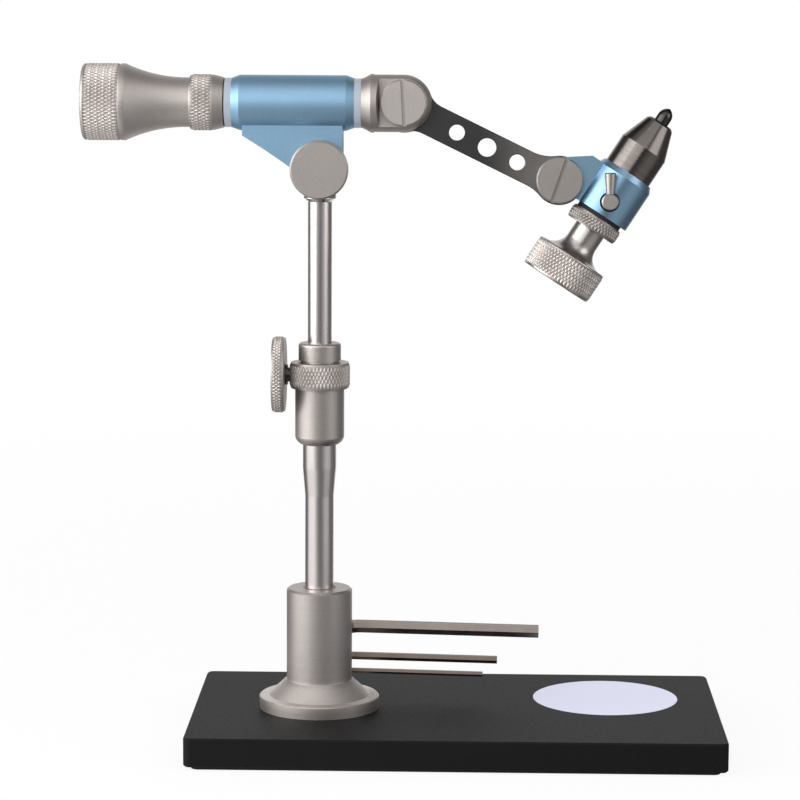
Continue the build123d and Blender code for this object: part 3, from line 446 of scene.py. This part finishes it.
def arm_black(name, base):
    """Satin black on the flat arm, with a grain along it and rubbed edges that also get a painted highlight.
    """
    finish = Finish(name, Metallic=1.0)
    brush = finish.lines((sin(ARM_FALL), 0.0, cos(ARM_FALL)), 3200.0, 3.0)
    cloud = finish.noise(60.0, 3.0, 0.6)
    wear_and_edge_highlight = finish.edges(0.3 * MM)
    near_wrist = finish.ramp(finish.along(ALONG_X), (0.01, 0.0), (0.026, 1.0))
    brown = [4.1 * base[0], 3.75 * base[1], 3.5 * base[2]]
    tone = finish.shade(base, 0.8 + 0.2 * cloud + 0.2 * brush)
    warm = finish.blend(near_wrist * (0.35 + 0.7 * cloud), tone, brown)
    finish.set(
        Base_Color=finish.blend(0.4 * wear_and_edge_highlight, warm, scaled(base, 2.6)),
        Roughness=0.34 + 0.16 * cloud - 0.06 * wear_and_edge_highlight,
    )
    finish.bump(brush, 0.14, 0.015 * MM)
    return finish.material


def base_paint(name, base):
    """Fine textured black paint, greyer on the edges: rubbed there, and lighter from a painted highlight."""
    finish = Finish(name)
    finish.shader.inputs["Specular IOR Level"].default_value = 0.2
    pebble = 0.6 * finish.noise(520.0, 2.0) + 0.4 * finish.noise(1500.0, 3.0, 0.6)
    cloud = finish.noise(24.0, 3.0)
    dust = finish.ramp(finish.noise(900.0, 4.0, 0.7), (0.6, 0.0), (0.78, 1.0))
    wear_and_edge_highlight = finish.edges(0.5 * MM)
    tone = finish.shade(base, 0.65 + 0.4 * cloud + 0.4 * pebble)
    grey = scaled(base, 2.6)
    finish.set(
        Base_Color=finish.blend(0.35 * wear_and_edge_highlight + 0.2 * dust, tone, grey),
        Roughness=0.5 + 0.2 * pebble - 0.08 * wear_and_edge_highlight,
    )
    finish.bump(pebble, 0.7, 0.16 * MM)
    return finish.material


def smooth_plastic(name, base, gloss):
    """Smooth plastic with slight clouding and hairline marks."""
    finish = Finish(name)
    cloud = finish.noise(45.0, 3.0)
    hair = finish.ramp(finish.noise(700.0, 5.0, 0.7), (0.52, 0.0), (0.7, 1.0))
    finish.set(
        Base_Color=finish.shade(base, 0.95 + 0.04 * cloud + 0.01 * hair),
        Roughness=gloss + 0.1 * cloud + 0.08 * hair,
    )
    finish.bump(hair, 0.05, 0.01 * MM)
    return finish.material


def key_steel(name, base):
    """Dark oiled steel of the hex keys, with drawing lines along the legs, bare cut ends and painted shade on
    the faces that turn up.
    """
    finish = Finish(name, Metallic=1.0)
    drawn = finish.lines(ALONG_Z, 5200.0, 3.0)
    cloud = finish.noise(120.0, 4.0, 0.6)
    wear_and_edge_highlight = finish.edges(0.25 * MM)
    normal = finish.add("ShaderNodeTexCoord", output="Normal")
    cut = finish.ramp(finish.dot(normal, ALONG_X), (0.8, 0.0), (0.95, 1.0))
    # Painted shade: faces that turn up are made darker.
    upper = finish.ramp(finish.dot(normal, ALONG_Z), (0.8, 0.0), (0.95, 1.0))
    bare = scaled(base, 4.0)
    tone = finish.shade(base, (0.6 + 0.55 * cloud + 0.25 * drawn) * (1.0 - 0.5 * upper))
    finish.set(
        Base_Color=finish.blend(0.4 * wear_and_edge_highlight + cut, tone, bare),
        Roughness=0.3 + 0.16 * cloud,
    )
    finish.bump(drawn, 0.15, 0.01 * MM)
    return finish.material


def rubber_sheet(name, base):
    """Matt sheet with a fine woven press mark."""
    finish = Finish(name)
    press = finish.noise(1100.0, 2.0)
    cloud = finish.noise(30.0, 3.0)
    finish.set(
        Base_Color=finish.shade(base, 0.8 + 0.3 * cloud + 0.2 * press),
        Roughness=0.78 + 0.14 * press,
    )
    finish.bump(press, 0.4, 0.05 * MM)
    return finish.material


def frame_at(joint_name, along, side):
    """Working frame on a joint: its Z runs along, its X to the side."""
    depth = Vector(along).normalized()
    right = Vector(side).normalized()
    matrix = Matrix((right, depth.cross(right), depth)).transposed().to_4x4()
    matrix.translation = Vector(joint(joint_name)["pos_m"])
    return matrix


JAW_SIDE = (ALONG_JAW[2], 0.0, -ALONG_JAW[0])
POST_FRAME = frame_at("rod_swivel", ALONG_Z, ALONG_X)
SPINDLE_FRAME = frame_at("rotary_turn", ALONG_X, ALONG_Z)
CLAMP_FRAME = frame_at("clamp_turn", (-1.0, 0.0, 0.0), ALONG_Z)
JAW_FRAME = frame_at("jaw_roll", ALONG_JAW, JAW_SIDE)


def reach(node, place):
    """Lowest and highest height and largest radius of a node in a working frame."""
    back = place.inverted()
    points = [back @ vertex.co for vertex in frame["nodes"][node].data.vertices]
    heights = [point.z for point in points]
    return min(heights), max(heights), max(hypot(point.x, point.y) for point in points)


def stand_for(piece, node, material):
    """Gives a finished piece its material and lets it stand for a node, on the node's body."""
    piece.data.materials.clear()
    piece.data.materials.append(material)
    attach(piece, frame["nodes"][node]["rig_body"])
    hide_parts(node)


def paint_node(node, material):
    """Gives a CAD node that stays in view its material."""
    data = frame["nodes"][node].data
    data.materials.clear()
    data.materials.append(material)


def only(piece):
    """Leaves one piece selected and active."""
    bpy.ops.object.select_all(action="DESELECT")
    piece.select_set(True)
    bpy.context.view_layer.objects.active = piece


def smooth(piece, angle=32.0):
    only(piece)
    bpy.ops.object.shade_smooth_by_angle(angle=radians(angle))


def arc(centre, radius, start, end, steps):
    """Points on an arc of the outline between two angles in degrees, ends included."""
    turns = [radians(start + (end - start) * step / steps) for step in range(steps + 1)]
    return [(centre[0] + radius * cos(turn), centre[1] + radius * sin(turn)) for turn in turns]


def turned(name, outline, steps):
    """Piece turned about Z: an outline of (radius, height) corners drawn by extrusion, then spun."""
    bpy.ops.object.select_all(action="DESELECT")
    bpy.ops.mesh.primitive_plane_add(size=MM)
    piece = bpy.context.object
    piece.name = piece.data.name = name
    bpy.context.tool_settings.mesh_select_mode = (True, False, False)
    bpy.ops.object.mode_set(mode="EDIT")
    bpy.ops.mesh.select_all(action="SELECT")
    bpy.ops.mesh.merge(type="CENTER")
    bpy.ops.transform.translate(value=(outline[0][0], 0.0, outline[0][1]))
    for (radius, height), (next_radius, next_height) in zip(outline, outline[1:]):
        step = (next_radius - radius, 0.0, next_height - height)
        bpy.ops.mesh.extrude_region_move(TRANSFORM_OT_translate={"value": step})
    bpy.ops.mesh.select_all(action="SELECT")
    bpy.ops.mesh.spin(steps=steps, angle=2 * pi, center=(0.0, 0.0, 0.0), axis=ALONG_Z)
    bpy.ops.mesh.select_all(action="SELECT")
    bpy.ops.mesh.remove_doubles(threshold=0.002 * MM)
    bpy.ops.mesh.normals_make_consistent(inside=False)
    bpy.ops.object.mode_set(mode="OBJECT")
    return piece


def put(piece, place):
    """Moves a piece from the origin into a working frame, with its place in its mesh."""
    only(piece)
    piece.matrix_world = place
    bpy.ops.object.transform_apply(location=True, rotation=True, scale=True)


def drill(piece, place, radius, depth):
    """Bores a hole in a piece from a working frame's origin along its Z."""
    bpy.ops.mesh.primitive_cylinder_add(vertices=64, radius=radius, depth=depth)
    cutter = bpy.context.object
    cutter.matrix_world = place @ Matrix.Translation((0.0, 0.0, depth / 2))
    only(piece)
    bpy.ops.object.modifier_add(type="BOOLEAN")
    bore = piece.modifiers[-1]
    bore.operation = "DIFFERENCE"
    bore.object = cutter
    bpy.ops.object.modifier_apply(modifier=bore.name)
    only(cutter)
    bpy.ops.object.delete()
    smooth(piece)


def select_parts(piece, parts, test):
    """Selects the edges or faces of a piece that pass a test, and stays in edit mode."""
    only(piece)
    kinds = {"edges": (False, True, False), "polygons": (False, False, True)}
    bpy.ops.object.mode_set(mode="EDIT")
    bpy.context.tool_settings.mesh_select_mode = kinds[parts]
    bpy.ops.mesh.select_all(action="DESELECT")
    bpy.ops.object.mode_set(mode="OBJECT")
    for part in getattr(piece.data, parts):
        part.select = test(part)
    bpy.ops.object.mode_set(mode="EDIT")


def knurl_steps(radius):
    """How many diamonds the knurl fits round a radius."""
    return round(2 * pi * radius * cos(KNURL_ANGLE) / sizes().knurl_pitch)


def knurl_rows(low, high):
    """Heights that divide a band into rows of diamonds."""
    rows = max(2, round((high - low) * sin(KNURL_ANGLE) / sizes().knurl_pitch))
    return [low + (high - low) * row / rows for row in range(rows + 1)]


def knurl(piece, low, high, radius):
    """Raises a diamond on every crossing of the band's faces between two heights."""
    inside = 0.9 * radius
    slack = 0.01 * MM

    def in_band(face):
        middle = face.center
        return low < middle.z < high and hypot(middle.x, middle.y) > inside

    select_parts(piece, "polygons", in_band)
    bpy.ops.object.mode_set(mode="OBJECT")
    corners = len(piece.data.vertices)
    bpy.ops.object.mode_set(mode="EDIT")
    bpy.ops.mesh.poke()
    bpy.ops.object.mode_set(mode="OBJECT")
    points = piece.data.vertices

    def old_line(edge):
        if max(edge.vertices) >= corners:
            return False
        middle = (points[edge.vertices[0]].co + points[edge.vertices[1]].co) / 2
        return low + slack < middle.z < high - slack and hypot(middle.x, middle.y) > inside

    select_parts(piece, "edges", old_line)
    bpy.ops.mesh.dissolve_edges(use_verts=False)
    bpy.ops.object.mode_set(mode="OBJECT")
    select_parts(piece, "polygons", lambda face: len(face.vertices) == 4 and in_band(face))
    bpy.ops.mesh.inset(use_individual=True, thickness=sizes().knurl_side, depth=sizes().knurl_depth)
    bpy.ops.object.mode_set(mode="OBJECT")
    paint_knurl_highlight(piece, low, high, radius + sizes().knurl_depth)


def paint_knurl_highlight(piece, low, high, top):
    """Writes on each point of a knurled band its tone, by how far it lies below the diamonds: a painted
    highlight on the diamonds, darker in the grooves.
    """
    own = sizes()
    contrast = own.knurl_highlight_level + own.knurl_dark
    tones = piece.data.attributes.new(KNURL_HIGHLIGHT, "FLOAT", "POINT")
    for point, tone in zip(piece.data.vertices, tones.data):
        below = (top - hypot(point.co.x, point.co.y)) / own.knurl_depth
        if low <= point.co.z <= high and below < 1.2:
            tone.value = own.knurl_highlight_level - contrast * min(1.0, max(0.0, below))


def knurled(node, outline, rows, radius, place):
    """Piece turned from an outline and knurled on the band that its rows span, in a working frame."""
    piece = turned(node + "_knurled", outline, knurl_steps(radius))
    knurl(piece, min(rows), max(rows), radius - sizes().knurl_depth)
    smooth(piece)
    put(piece, place)
    return piece


def knurled_ring(node, place, bore, chamfer):
    """Ring with chamfered rims and a knurl all round."""
    low, high, radius = reach(node, place)
    root = radius - sizes().knurl_depth
    rim = radius - chamfer
    rows = knurl_rows(low + chamfer, high - chamfer)
    outline = [(bore, low), (rim, low), *[(root, height) for height in rows], (rim, high), (bore, high)]
    outline.append(outline[0])
    return knurled(node, outline, rows, radius, place)


class VISE_OT_base(bpy.types.Operator):
    """Finish the base plate, its pad and the white inlay"""

    bl_idname = "vise.base"
    bl_label = "Base"

    def execute(self, context):
        paint_node("base_plate", base_paint("base_black", colours().paint))
        paint_node("base_pad", rubber_sheet("pad_rubber", colours().rubber))
        paint_node("inlay_disc", smooth_plastic("inlay_white", colours().inlay, gloss=0.28))
        return {"FINISHED"}


class VISE_OT_pedestal(bpy.types.Operator):
    """Finish the pedestal and the screws that hold it and the post"""

    bl_idname = "vise.pedestal"
    bl_label = "Pedestal"

    def execute(self, context):
        # The pedestal's cone gets painted light: its band is made lighter.
        cone = sizes().cone_low, sizes().cone_high
        satin = satin_metal("satin_grey_pedestal", colours().satin, ALONG_Z, ridges=0.08, band=cone)
        paint_node("pedestal", satin)
        oxide = oxide_metal("oxide_screws", colours().oxide, ALONG_Z)
        for node in ("base_bolt", "post_screw", "knob_screw"):
            paint_node(node, oxide)
        return {"FINISHED"}


class VISE_OT_keys(bpy.types.Operator):
    """Finish the three hex keys"""

    bl_idname = "vise.keys"
    bl_label = "Hex keys"

    def execute(self, context):
        paint_node("large_hex_key", key_steel("key_steel", colours().key))
        brown = key_steel("key_steel_dark", colours().dark_key)
        for node in ("middle_hex_key", "small_hex_key"):
            paint_node(node, brown)
        return {"FINISHED"}


class VISE_OT_posts(bpy.types.Operator):
    """Finish the lower post and the upper rod"""

    bl_idname = "vise.posts"
    bl_label = "Posts"

    def execute(self, context):
        steel = polished_metal("polished_upright", colours().polished, ALONG_Z)
        for node in ("lower_post", "upper_rod"):
            paint_node(node, steel)
        return {"FINISHED"}


class VISE_OT_collar(bpy.types.Operator):
    """Finish the clamp collar and rod guide, and knurl the collar's ring"""

    bl_idname = "vise.collar"
    bl_label = "Collar"

    def execute(self, context):
        satin = satin_metal("satin_grey_upright", colours().satin, ALONG_Z, ridges=0.08)
        for node in ("clamp_collar", "rod_guide"):
            paint_node(node, satin)
        ring = knurled_ring("collar_ring", POST_FRAME, sizes().collar, sizes().collar_chamfer)
        drill(ring, CLAMP_FRAME, sizes().stem_way, 2 * sizes().collar)
        stand_for(ring, "collar_ring", satin)
        return {"FINISHED"}


class VISE_OT_height_clamp(bpy.types.Operator):
    """Finish the clamp's stem and pad, and knurl its wheel"""

    bl_idname = "vise.height_clamp"
    bl_label = "Height clamp"

    def execute(self, context):
        satin = satin_metal("satin_grey_lengthwise", colours().satin, ALONG_X, gloss=0.46)
        wheel = knurled_ring("clamp_wheel", CLAMP_FRAME, sizes().stem, sizes().wheel_chamfer)
        stand_for(wheel, "clamp_wheel", satin)
        paint_node("clamp_screw", oxide_metal("oxide_lengthwise", colours().oxide, ALONG_X))
        paint_node("clamp_pad", polished_metal("turned_brass", colours().brass, ALONG_X, gloss=0.24))
        return {"FINISHED"}


class VISE_OT_head(bpy.types.Operator):
    """Finish the blue barrel, its bushes and the spindle"""

    bl_idname = "vise.head"
    bl_label = "Rotary head"

    def execute(self, context):
        blue = satin_metal("blue_lengthwise", colours().anodised, ALONG_X, gloss=0.46, ridges=0.02)
        paint_node("barrel", blue)
        pale = smooth_plastic("bush_pale", colours().bush, gloss=0.34)
        for node in ("rear_bush", "front_bush"):
            paint_node(node, pale)
        paint_node("spindle", polished_metal("polished_lengthwise", colours().polished, ALONG_X))
        # The drag washer's black is partly painted shade in the gap at the drag ring.
        paint_node("drag_washer", rubber_sheet("dark_fibre", colours().fibre))
        paint_node("elbow_washers", bpy.data.materials["dark_fibre"])
        return {"FINISHED"}


class VISE_OT_tilt(bpy.types.Operator):
    """Finish the tilt joint"""

    bl_idname = "vise.tilt"
    bl_label = "Tilt joint"

    def execute(self, context):
        paint_node("tilt_pivot", satin_metal("satin_grey_facing", colours().satin, ALONG_Y, gloss=0.42))
        bright = polished_metal("bright_facing", colours().bright, ALONG_Y, gloss=0.2)
        for node in ("tilt_washer", "tilt_screw"):
            paint_node(node, bright)
        return {"FINISHED"}


class VISE_OT_drag_ring(bpy.types.Operator):
    """Turn and knurl the drag ring"""

    bl_idname = "vise.drag_ring"
    bl_label = "Drag ring"

    def execute(self, context):
        own = sizes()
        low, high, radius = reach("drag_ring", SPINDLE_FRAME)
        root = radius - own.knurl_depth
        band = high - own.drag_cone
        rows = knurl_rows(low + own.drag_chamfer, band - KNURL_LAND)
        bore = own.spindle + RUNNING_GAP
        outline = [(bore, low), (radius - own.drag_chamfer, low), *[(root, height) for height in rows]]
        outline += [(radius - SKIN, band), (own.drag_end, high), (bore, high), (bore, low)]
        piece = knurled("drag_ring", outline, rows, radius, SPINDLE_FRAME)
        stand_for(piece, "drag_ring", bpy.data.materials["satin_grey_lengthwise"])
        return {"FINISHED"}


class VISE_OT_rear_knob(bpy.types.Operator):
    """Turn and knurl the rear knob"""

    bl_idname = "vise.rear_knob"
    bl_label = "Rear knob"

    def execute(self, context):
        own = sizes()
        low, high, radius = reach("rear_knob", SPINDLE_FRAME)
        root = radius - own.knurl_depth
        flare_start = high - own.knob_neck_length
        flare_end = flare_start - own.knob_flare
        rise = radius - own.knob_neck
        bend = (own.knob_flare ** 2 + rise ** 2) / (2 * rise)
        sweep = degrees(asin(own.knob_flare / bend))
        centre = (own.knob_neck + bend, flare_start)
        flare = arc(centre, bend, 180.0, 180.0 + sweep, 20)
        land = flare_end - own.knob_land
        rim = low + own.knob_rim
        rows = knurl_rows(rim, land)
        rows.reverse()
        outline = [(0.0, high - own.knob_bore), (own.spindle, high - own.knob_bore), (own.spindle, high)]
        outline += [(own.knob_neck, high), *flare, (radius - SKIN, land + FLARE_LAND)]
        outline += [(root, height) for height in rows]
        outline += arc((radius - own.knob_rim, rim), own.knob_rim - SKIN, 0.0, -90.0, 5)
        outline.append((0.0, low))
        piece = knurled("rear_knob", outline, rows, radius, SPINDLE_FRAME)
        # Painted light: the knob's satin is a lighter copy of the satin grey.
        pale = scaled(colours().satin, 1.1)
        stand_for(piece, "rear_knob", satin_metal("satin_grey_knob", pale, ALONG_X, gloss=0.46))
        return {"FINISHED"}


class VISE_OT_clevis(bpy.types.Operator):
    """Finish the clevis, the arm and their pivot screws"""

    bl_idname = "vise.clevis"
    bl_label = "Clevis and arm"

    def execute(self, context):
        facing = bpy.data.materials["satin_grey_facing"]
        # Painted shade: the clevis gets a darker copy of the satin grey.
        shaded_clevis_satin = scaled(colours().satin, 0.93)
        paint_node("clevis", satin_metal("satin_grey_clevis", shaded_clevis_satin, ALONG_X, gloss=0.46))
        for node in ("elbow_screw", "elbow_nut"):
            paint_node(node, facing)
        # Painted shade: the wrist screw and nut get a darker copy of the satin grey.
        dull = satin_metal("satin_grey_wrist", scaled(colours().satin, 0.8), ALONG_Y, gloss=0.42)
        for node in ("wrist_screw", "wrist_nut"):
            paint_node(node, dull)
        paint_node("jaw_arm", arm_black("arm_black", colours().arm))
        return {"FINISHED"}


class VISE_OT_holder(bpy.types.Operator):
    """Finish the blue jaw holder and its lock lever"""

    bl_idname = "vise.holder"
    bl_label = "Jaw holder"

    def execute(self, context):
        # Painted shade: the holder's blue is a darker copy of the anodised blue.
        shaded_blue = scaled(colours().anodised, 0.9)
        # The lock screw's recess gets painted shade.
        blue = satin_metal(
            "blue_jaw", shaded_blue, ALONG_JAW, gloss=0.3, ridges=0.02,
            hub=joint("lock_turn"), shaded_recess=sizes().lock_recess_shade,
        )
        paint_node("jaw_holder", blue)
        bright = satin_metal("bright_lock", colours().bright, ALONG_Y, gloss=0.33)
        for node in ("lock_screw", "lock_handle"):
            paint_node(node, bright)
        return {"FINISHED"}


class VISE_OT_jaws(bpy.types.Operator):
    """Finish the collet, the jaws and the pieces that draw them"""

    bl_idname = "vise.jaws"
    bl_label = "Jaws"

    def execute(self, context):
        paint_node("collet", oxide_metal("gunmetal_jaw", colours().gunmetal, ALONG_JAW, gloss=0.12))
        paint_node("collet_washer", bpy.data.materials["dark_fibre"])
        black = oxide_metal("oxide_jaw", colours().oxide, ALONG_JAW, gloss=0.1)
        for node in ("front_jaw", "rear_jaw"):
            paint_node(node, black)
        steel = polished_metal("polished_jaw", colours().polished, ALONG_JAW)
        for node in ("draw_bar", "jaw_pin"):
            paint_node(node, steel)
        return {"FINISHED"}


class VISE_OT_lock_ring(bpy.types.Operator):
    """Turn and knurl the lock ring"""

    bl_idname = "vise.lock_ring"
    bl_label = "Lock ring"

    def execute(self, context):
        # Painted shade: the lock ring gets a darker copy of the satin grey.
        dull = scaled(colours().satin, 0.75)
        ring = knurled_ring("lock_ring", JAW_FRAME, sizes().sleeve, sizes().lock_chamfer)
        stand_for(ring, "lock_ring", satin_metal("satin_grey_ring", dull, ALONG_JAW))
        return {"FINISHED"}


class VISE_OT_jaw_knob(bpy.types.Operator):
    """Turn and knurl the jaw knob"""

    bl_idname = "vise.jaw_knob"
    bl_label = "Jaw knob"

    def execute(self, context):
        own = sizes()
        low, high, radius = reach("jaw_knob", JAW_FRAME)
        root = radius - own.knurl_depth
        face = low + own.grip_head
        edge = radius - own.grip_rim
        rows = knurl_rows(low + own.grip_rim, face - own.grip_rim)
        rows.reverse()
        flare = arc((own.grip_neck + own.grip_flare, face + own.grip_flare), own.grip_flare, 180.0, 270.0, 14)
        bore_end = low + own.grip_floor
        outline = [(0.0, bore_end), (own.grip_bore, bore_end), (own.grip_bore, high), (own.grip_neck, high)]
        outline += [*flare, *arc((edge, face - own.grip_rim), own.grip_rim - SKIN, 90.0, 0.0, 5)]
        outline += [(root, height) for height in rows]
        outline += [*arc((edge, low + own.grip_rim), own.grip_rim - SKIN, 0.0, -90.0, 5), (0.0, low)]
        piece = knurled("jaw_knob", outline, rows, radius, JAW_FRAME)
        satin = satin_metal("satin_grey_jaw", colours().satin, ALONG_JAW, gloss=0.25)
        stand_for(piece, "jaw_knob", satin)
        return {"FINISHED"}


def sweep_floor():
    """White floor that curves up into a backdrop behind the vise."""
    bpy.ops.object.select_all(action="DESELECT")
    bpy.ops.mesh.primitive_plane_add(size=FLOOR_SIZE, location=FLOOR_PLACE)
    floor = bpy.context.object
    floor.name = "floor"
    bpy.ops.object.transform_apply(location=True, rotation=True, scale=True)

    def at_foot(edge):
        ends = [floor.data.vertices[v].co for v in edge.vertices]
        return all(end.y > BACKDROP_FROM and end.z < 0.5 * BACKDROP_HEIGHT for end in ends)

    select_parts(floor, "edges", at_foot)
    bpy.ops.mesh.extrude_region_move(TRANSFORM_OT_translate={"value": (0.0, 0.0, BACKDROP_HEIGHT)})
    bpy.ops.object.mode_set(mode="OBJECT")
    select_parts(floor, "edges", at_foot)
    bpy.ops.mesh.bevel(offset=BACKDROP_BEND, segments=24)
    bpy.ops.object.mode_set(mode="OBJECT")
    smooth(floor, 60.0)
    return floor


def floor_paint(own):
    """White floor: plain white to the camera away from the vise, and with its shadow near it.

    Metal shows the ground's grey close to the vise, and the room's greys farther out.
    """
    finish = Finish("floor_white", Roughness=0.8)
    finish.set(Base_Color=finish.shade(own.floor, 0.99 + 0.02 * finish.noise(2.0, 2.0)))
    far = finish.add("ShaderNodeVectorMath", {"operation": "LENGTH"}, {0: finish.place}, "Value")
    plain = finish.ramp(0.5 * far, (0.12, own.glow), (0.5, 1.0))
    mirrored = finish.light_path("Is Glossy Ray")
    clear = finish.light_path("Is Transmission Ray")
    near = finish.ramp(far, (0.14, 1.0), (0.28, 0.0))
    ground = finish.ramp(0.5 + 2.0 * finish.along(ALONG_X), (0.2, own.ground), (0.8, 0.22 * own.ground))
    shown = near * ground + (1.0 - near) * finish.room(finish.place)
    grey = finish.shade((1.0, 1.0, 1.0), 1.0 - mirrored * (1.0 - shown))
    glow = finish.add("ShaderNodeEmission", {}, {"Color": grey})
    seen = finish.light_path("Is Camera Ray") * plain + mirrored + clear
    lit = Flow(finish, finish.shader.outputs[0])
    surface = finish.add("ShaderNodeMixShader", {}, {0: seen, 1: lit, 2: glow})
    finish.feed(finish.output.inputs["Surface"], surface)
    return finish.material


def set_world(own):
    """White room to the camera, an even soft sky on dull surfaces, and the room's greys in metal."""
    world = bpy.data.worlds.new("studio")
    bpy.context.scene.world = world
    world.use_nodes = True
    sky = Nodes(world.node_tree)
    place = sky.add("ShaderNodeTexCoord", output="Generated")
    overhead = sky.ramp(sky.dot(place, ALONG_Z), (0.25, 1.0), (0.7, own.ceiling))
    mirrored = sky.light_path("Is Glossy Ray")
    white = sky.light_path("Is Camera Ray") + sky.light_path("Is Transmission Ray")
    dull = (1.0 - white) * (1.0 - mirrored)
    amount = white + mirrored * sky.room(place) * overhead + own.sky * dull
    back = sky.add("ShaderNodeBackground", {}, {"Color": sky.shade((1.0, 1.0, 1.0), amount)})
    sky.add("ShaderNodeOutputWorld", {}, {"Surface": back})


def soft_light(name, place, target, width, height, power):
    """Rectangular soft light at a place, turned to a target and unseen by the camera."""
    data = bpy.data.lights.new(name, "AREA")
    data.shape = "RECTANGLE"
    data.size = width
    data.size_y = height
    data.energy = power
    light = bpy.data.objects.new(name, data)
    light.visible_camera = False
    bpy.context.scene.collection.objects.link(light)
    light.location = place
    light.rotation_euler = (Vector(target) - Vector(place)).to_track_quat("-Z", "Y").to_euler()


def set_camera(own):
    """Camera at the studio's place, turned by its yaw, pitch and roll."""
    data = bpy.data.cameras.new("camera")
    data.sensor_width = 36.0
    data.lens = own.lens
    data.clip_start = 0.05
    data.clip_end = 50.0
    camera = bpy.data.objects.new("camera", data)
    bpy.context.scene.collection.objects.link(camera)
    yaw, pitch, roll = own.aim
    forward = Vector((sin(yaw) * cos(pitch), cos(yaw) * cos(pitch), sin(pitch)))
    level_right = Vector((cos(yaw), -sin(yaw), 0.0))
    level_up = level_right.cross(forward)
    right = cos(roll) * level_right + sin(roll) * level_up
    up = cos(roll) * level_up - sin(roll) * level_right
    matrix = Matrix((right, up, -forward)).transposed().to_4x4()
    matrix.translation = Vector(own.camera)
    camera.matrix_world = matrix
    bpy.context.scene.camera = camera


class VISE_OT_stage(bpy.types.Operator):
    """Set the floor, the lights, the room and the camera"""

    bl_idname = "vise.stage"
    bl_label = "Stage"

    def execute(self, context):
        own = studio()
        context.scene.view_settings.view_transform = "Standard"
        sweep_floor().data.materials.append(floor_paint(own))
        set_world(own)
        for name, (place, target, width, height) in LIGHTS.items():
            soft_light(name, place, target, width, height, getattr(own, name))
        set_camera(own)
        return {"FINISHED"}


OPERATORS = (
    VISE_OT_base, VISE_OT_pedestal, VISE_OT_keys, VISE_OT_posts, VISE_OT_collar, VISE_OT_height_clamp,
    VISE_OT_head, VISE_OT_tilt, VISE_OT_drag_ring, VISE_OT_rear_knob, VISE_OT_clevis, VISE_OT_holder,
    VISE_OT_jaws, VISE_OT_lock_ring, VISE_OT_jaw_knob, VISE_OT_stage,
)


class VISE_PT_panel(bpy.types.Panel):
    """Sidebar panel with the vise's colours, sizes, studio and pieces"""

    bl_idname = "VISE_PT_panel"
    bl_label = "Fly Tying Vise"
    bl_space_type = "VIEW_3D"
    bl_region_type = "UI"
    bl_category = "Vise"

    def draw(self, context):
        for group in (context.scene.vise_colours, context.scene.vise_sizes, context.scene.vise_studio):
            box = self.layout.box()
            for name in group.bl_rna.properties.keys():
                if name not in ("rna_type", "name"):
                    box.prop(group, name)
        for operator in OPERATORS:
            self.layout.operator(operator.bl_idname)


CLASSES = (ViseColours, ViseSizes, ViseStudio, *OPERATORS, VISE_PT_panel)


def register():
    for each in CLASSES:
        bpy.utils.register_class(each)
    bpy.types.Scene.vise_colours = bpy.props.PointerProperty(type=ViseColours)
    bpy.types.Scene.vise_sizes = bpy.props.PointerProperty(type=ViseSizes)
    bpy.types.Scene.vise_studio = bpy.props.PointerProperty(type=ViseStudio)


def unregister():
    del bpy.types.Scene.vise_studio
    del bpy.types.Scene.vise_sizes
    del bpy.types.Scene.vise_colours
    for each in reversed(CLASSES):
        bpy.utils.unregister_class(each)


def main():
    register()
    bpy.ops.vise.base()
    bpy.ops.vise.pedestal()
    bpy.ops.vise.keys()
    bpy.ops.vise.posts()
    bpy.ops.vise.collar()
    bpy.ops.vise.height_clamp()
    bpy.ops.vise.head()
    bpy.ops.vise.tilt()
    bpy.ops.vise.drag_ring()
    bpy.ops.vise.rear_knob()
    bpy.ops.vise.clevis()
    bpy.ops.vise.holder()
    bpy.ops.vise.jaws()
    bpy.ops.vise.lock_ring()
    bpy.ops.vise.jaw_knob()
    bpy.ops.vise.stage()


if __name__ == "__main__":
    main()
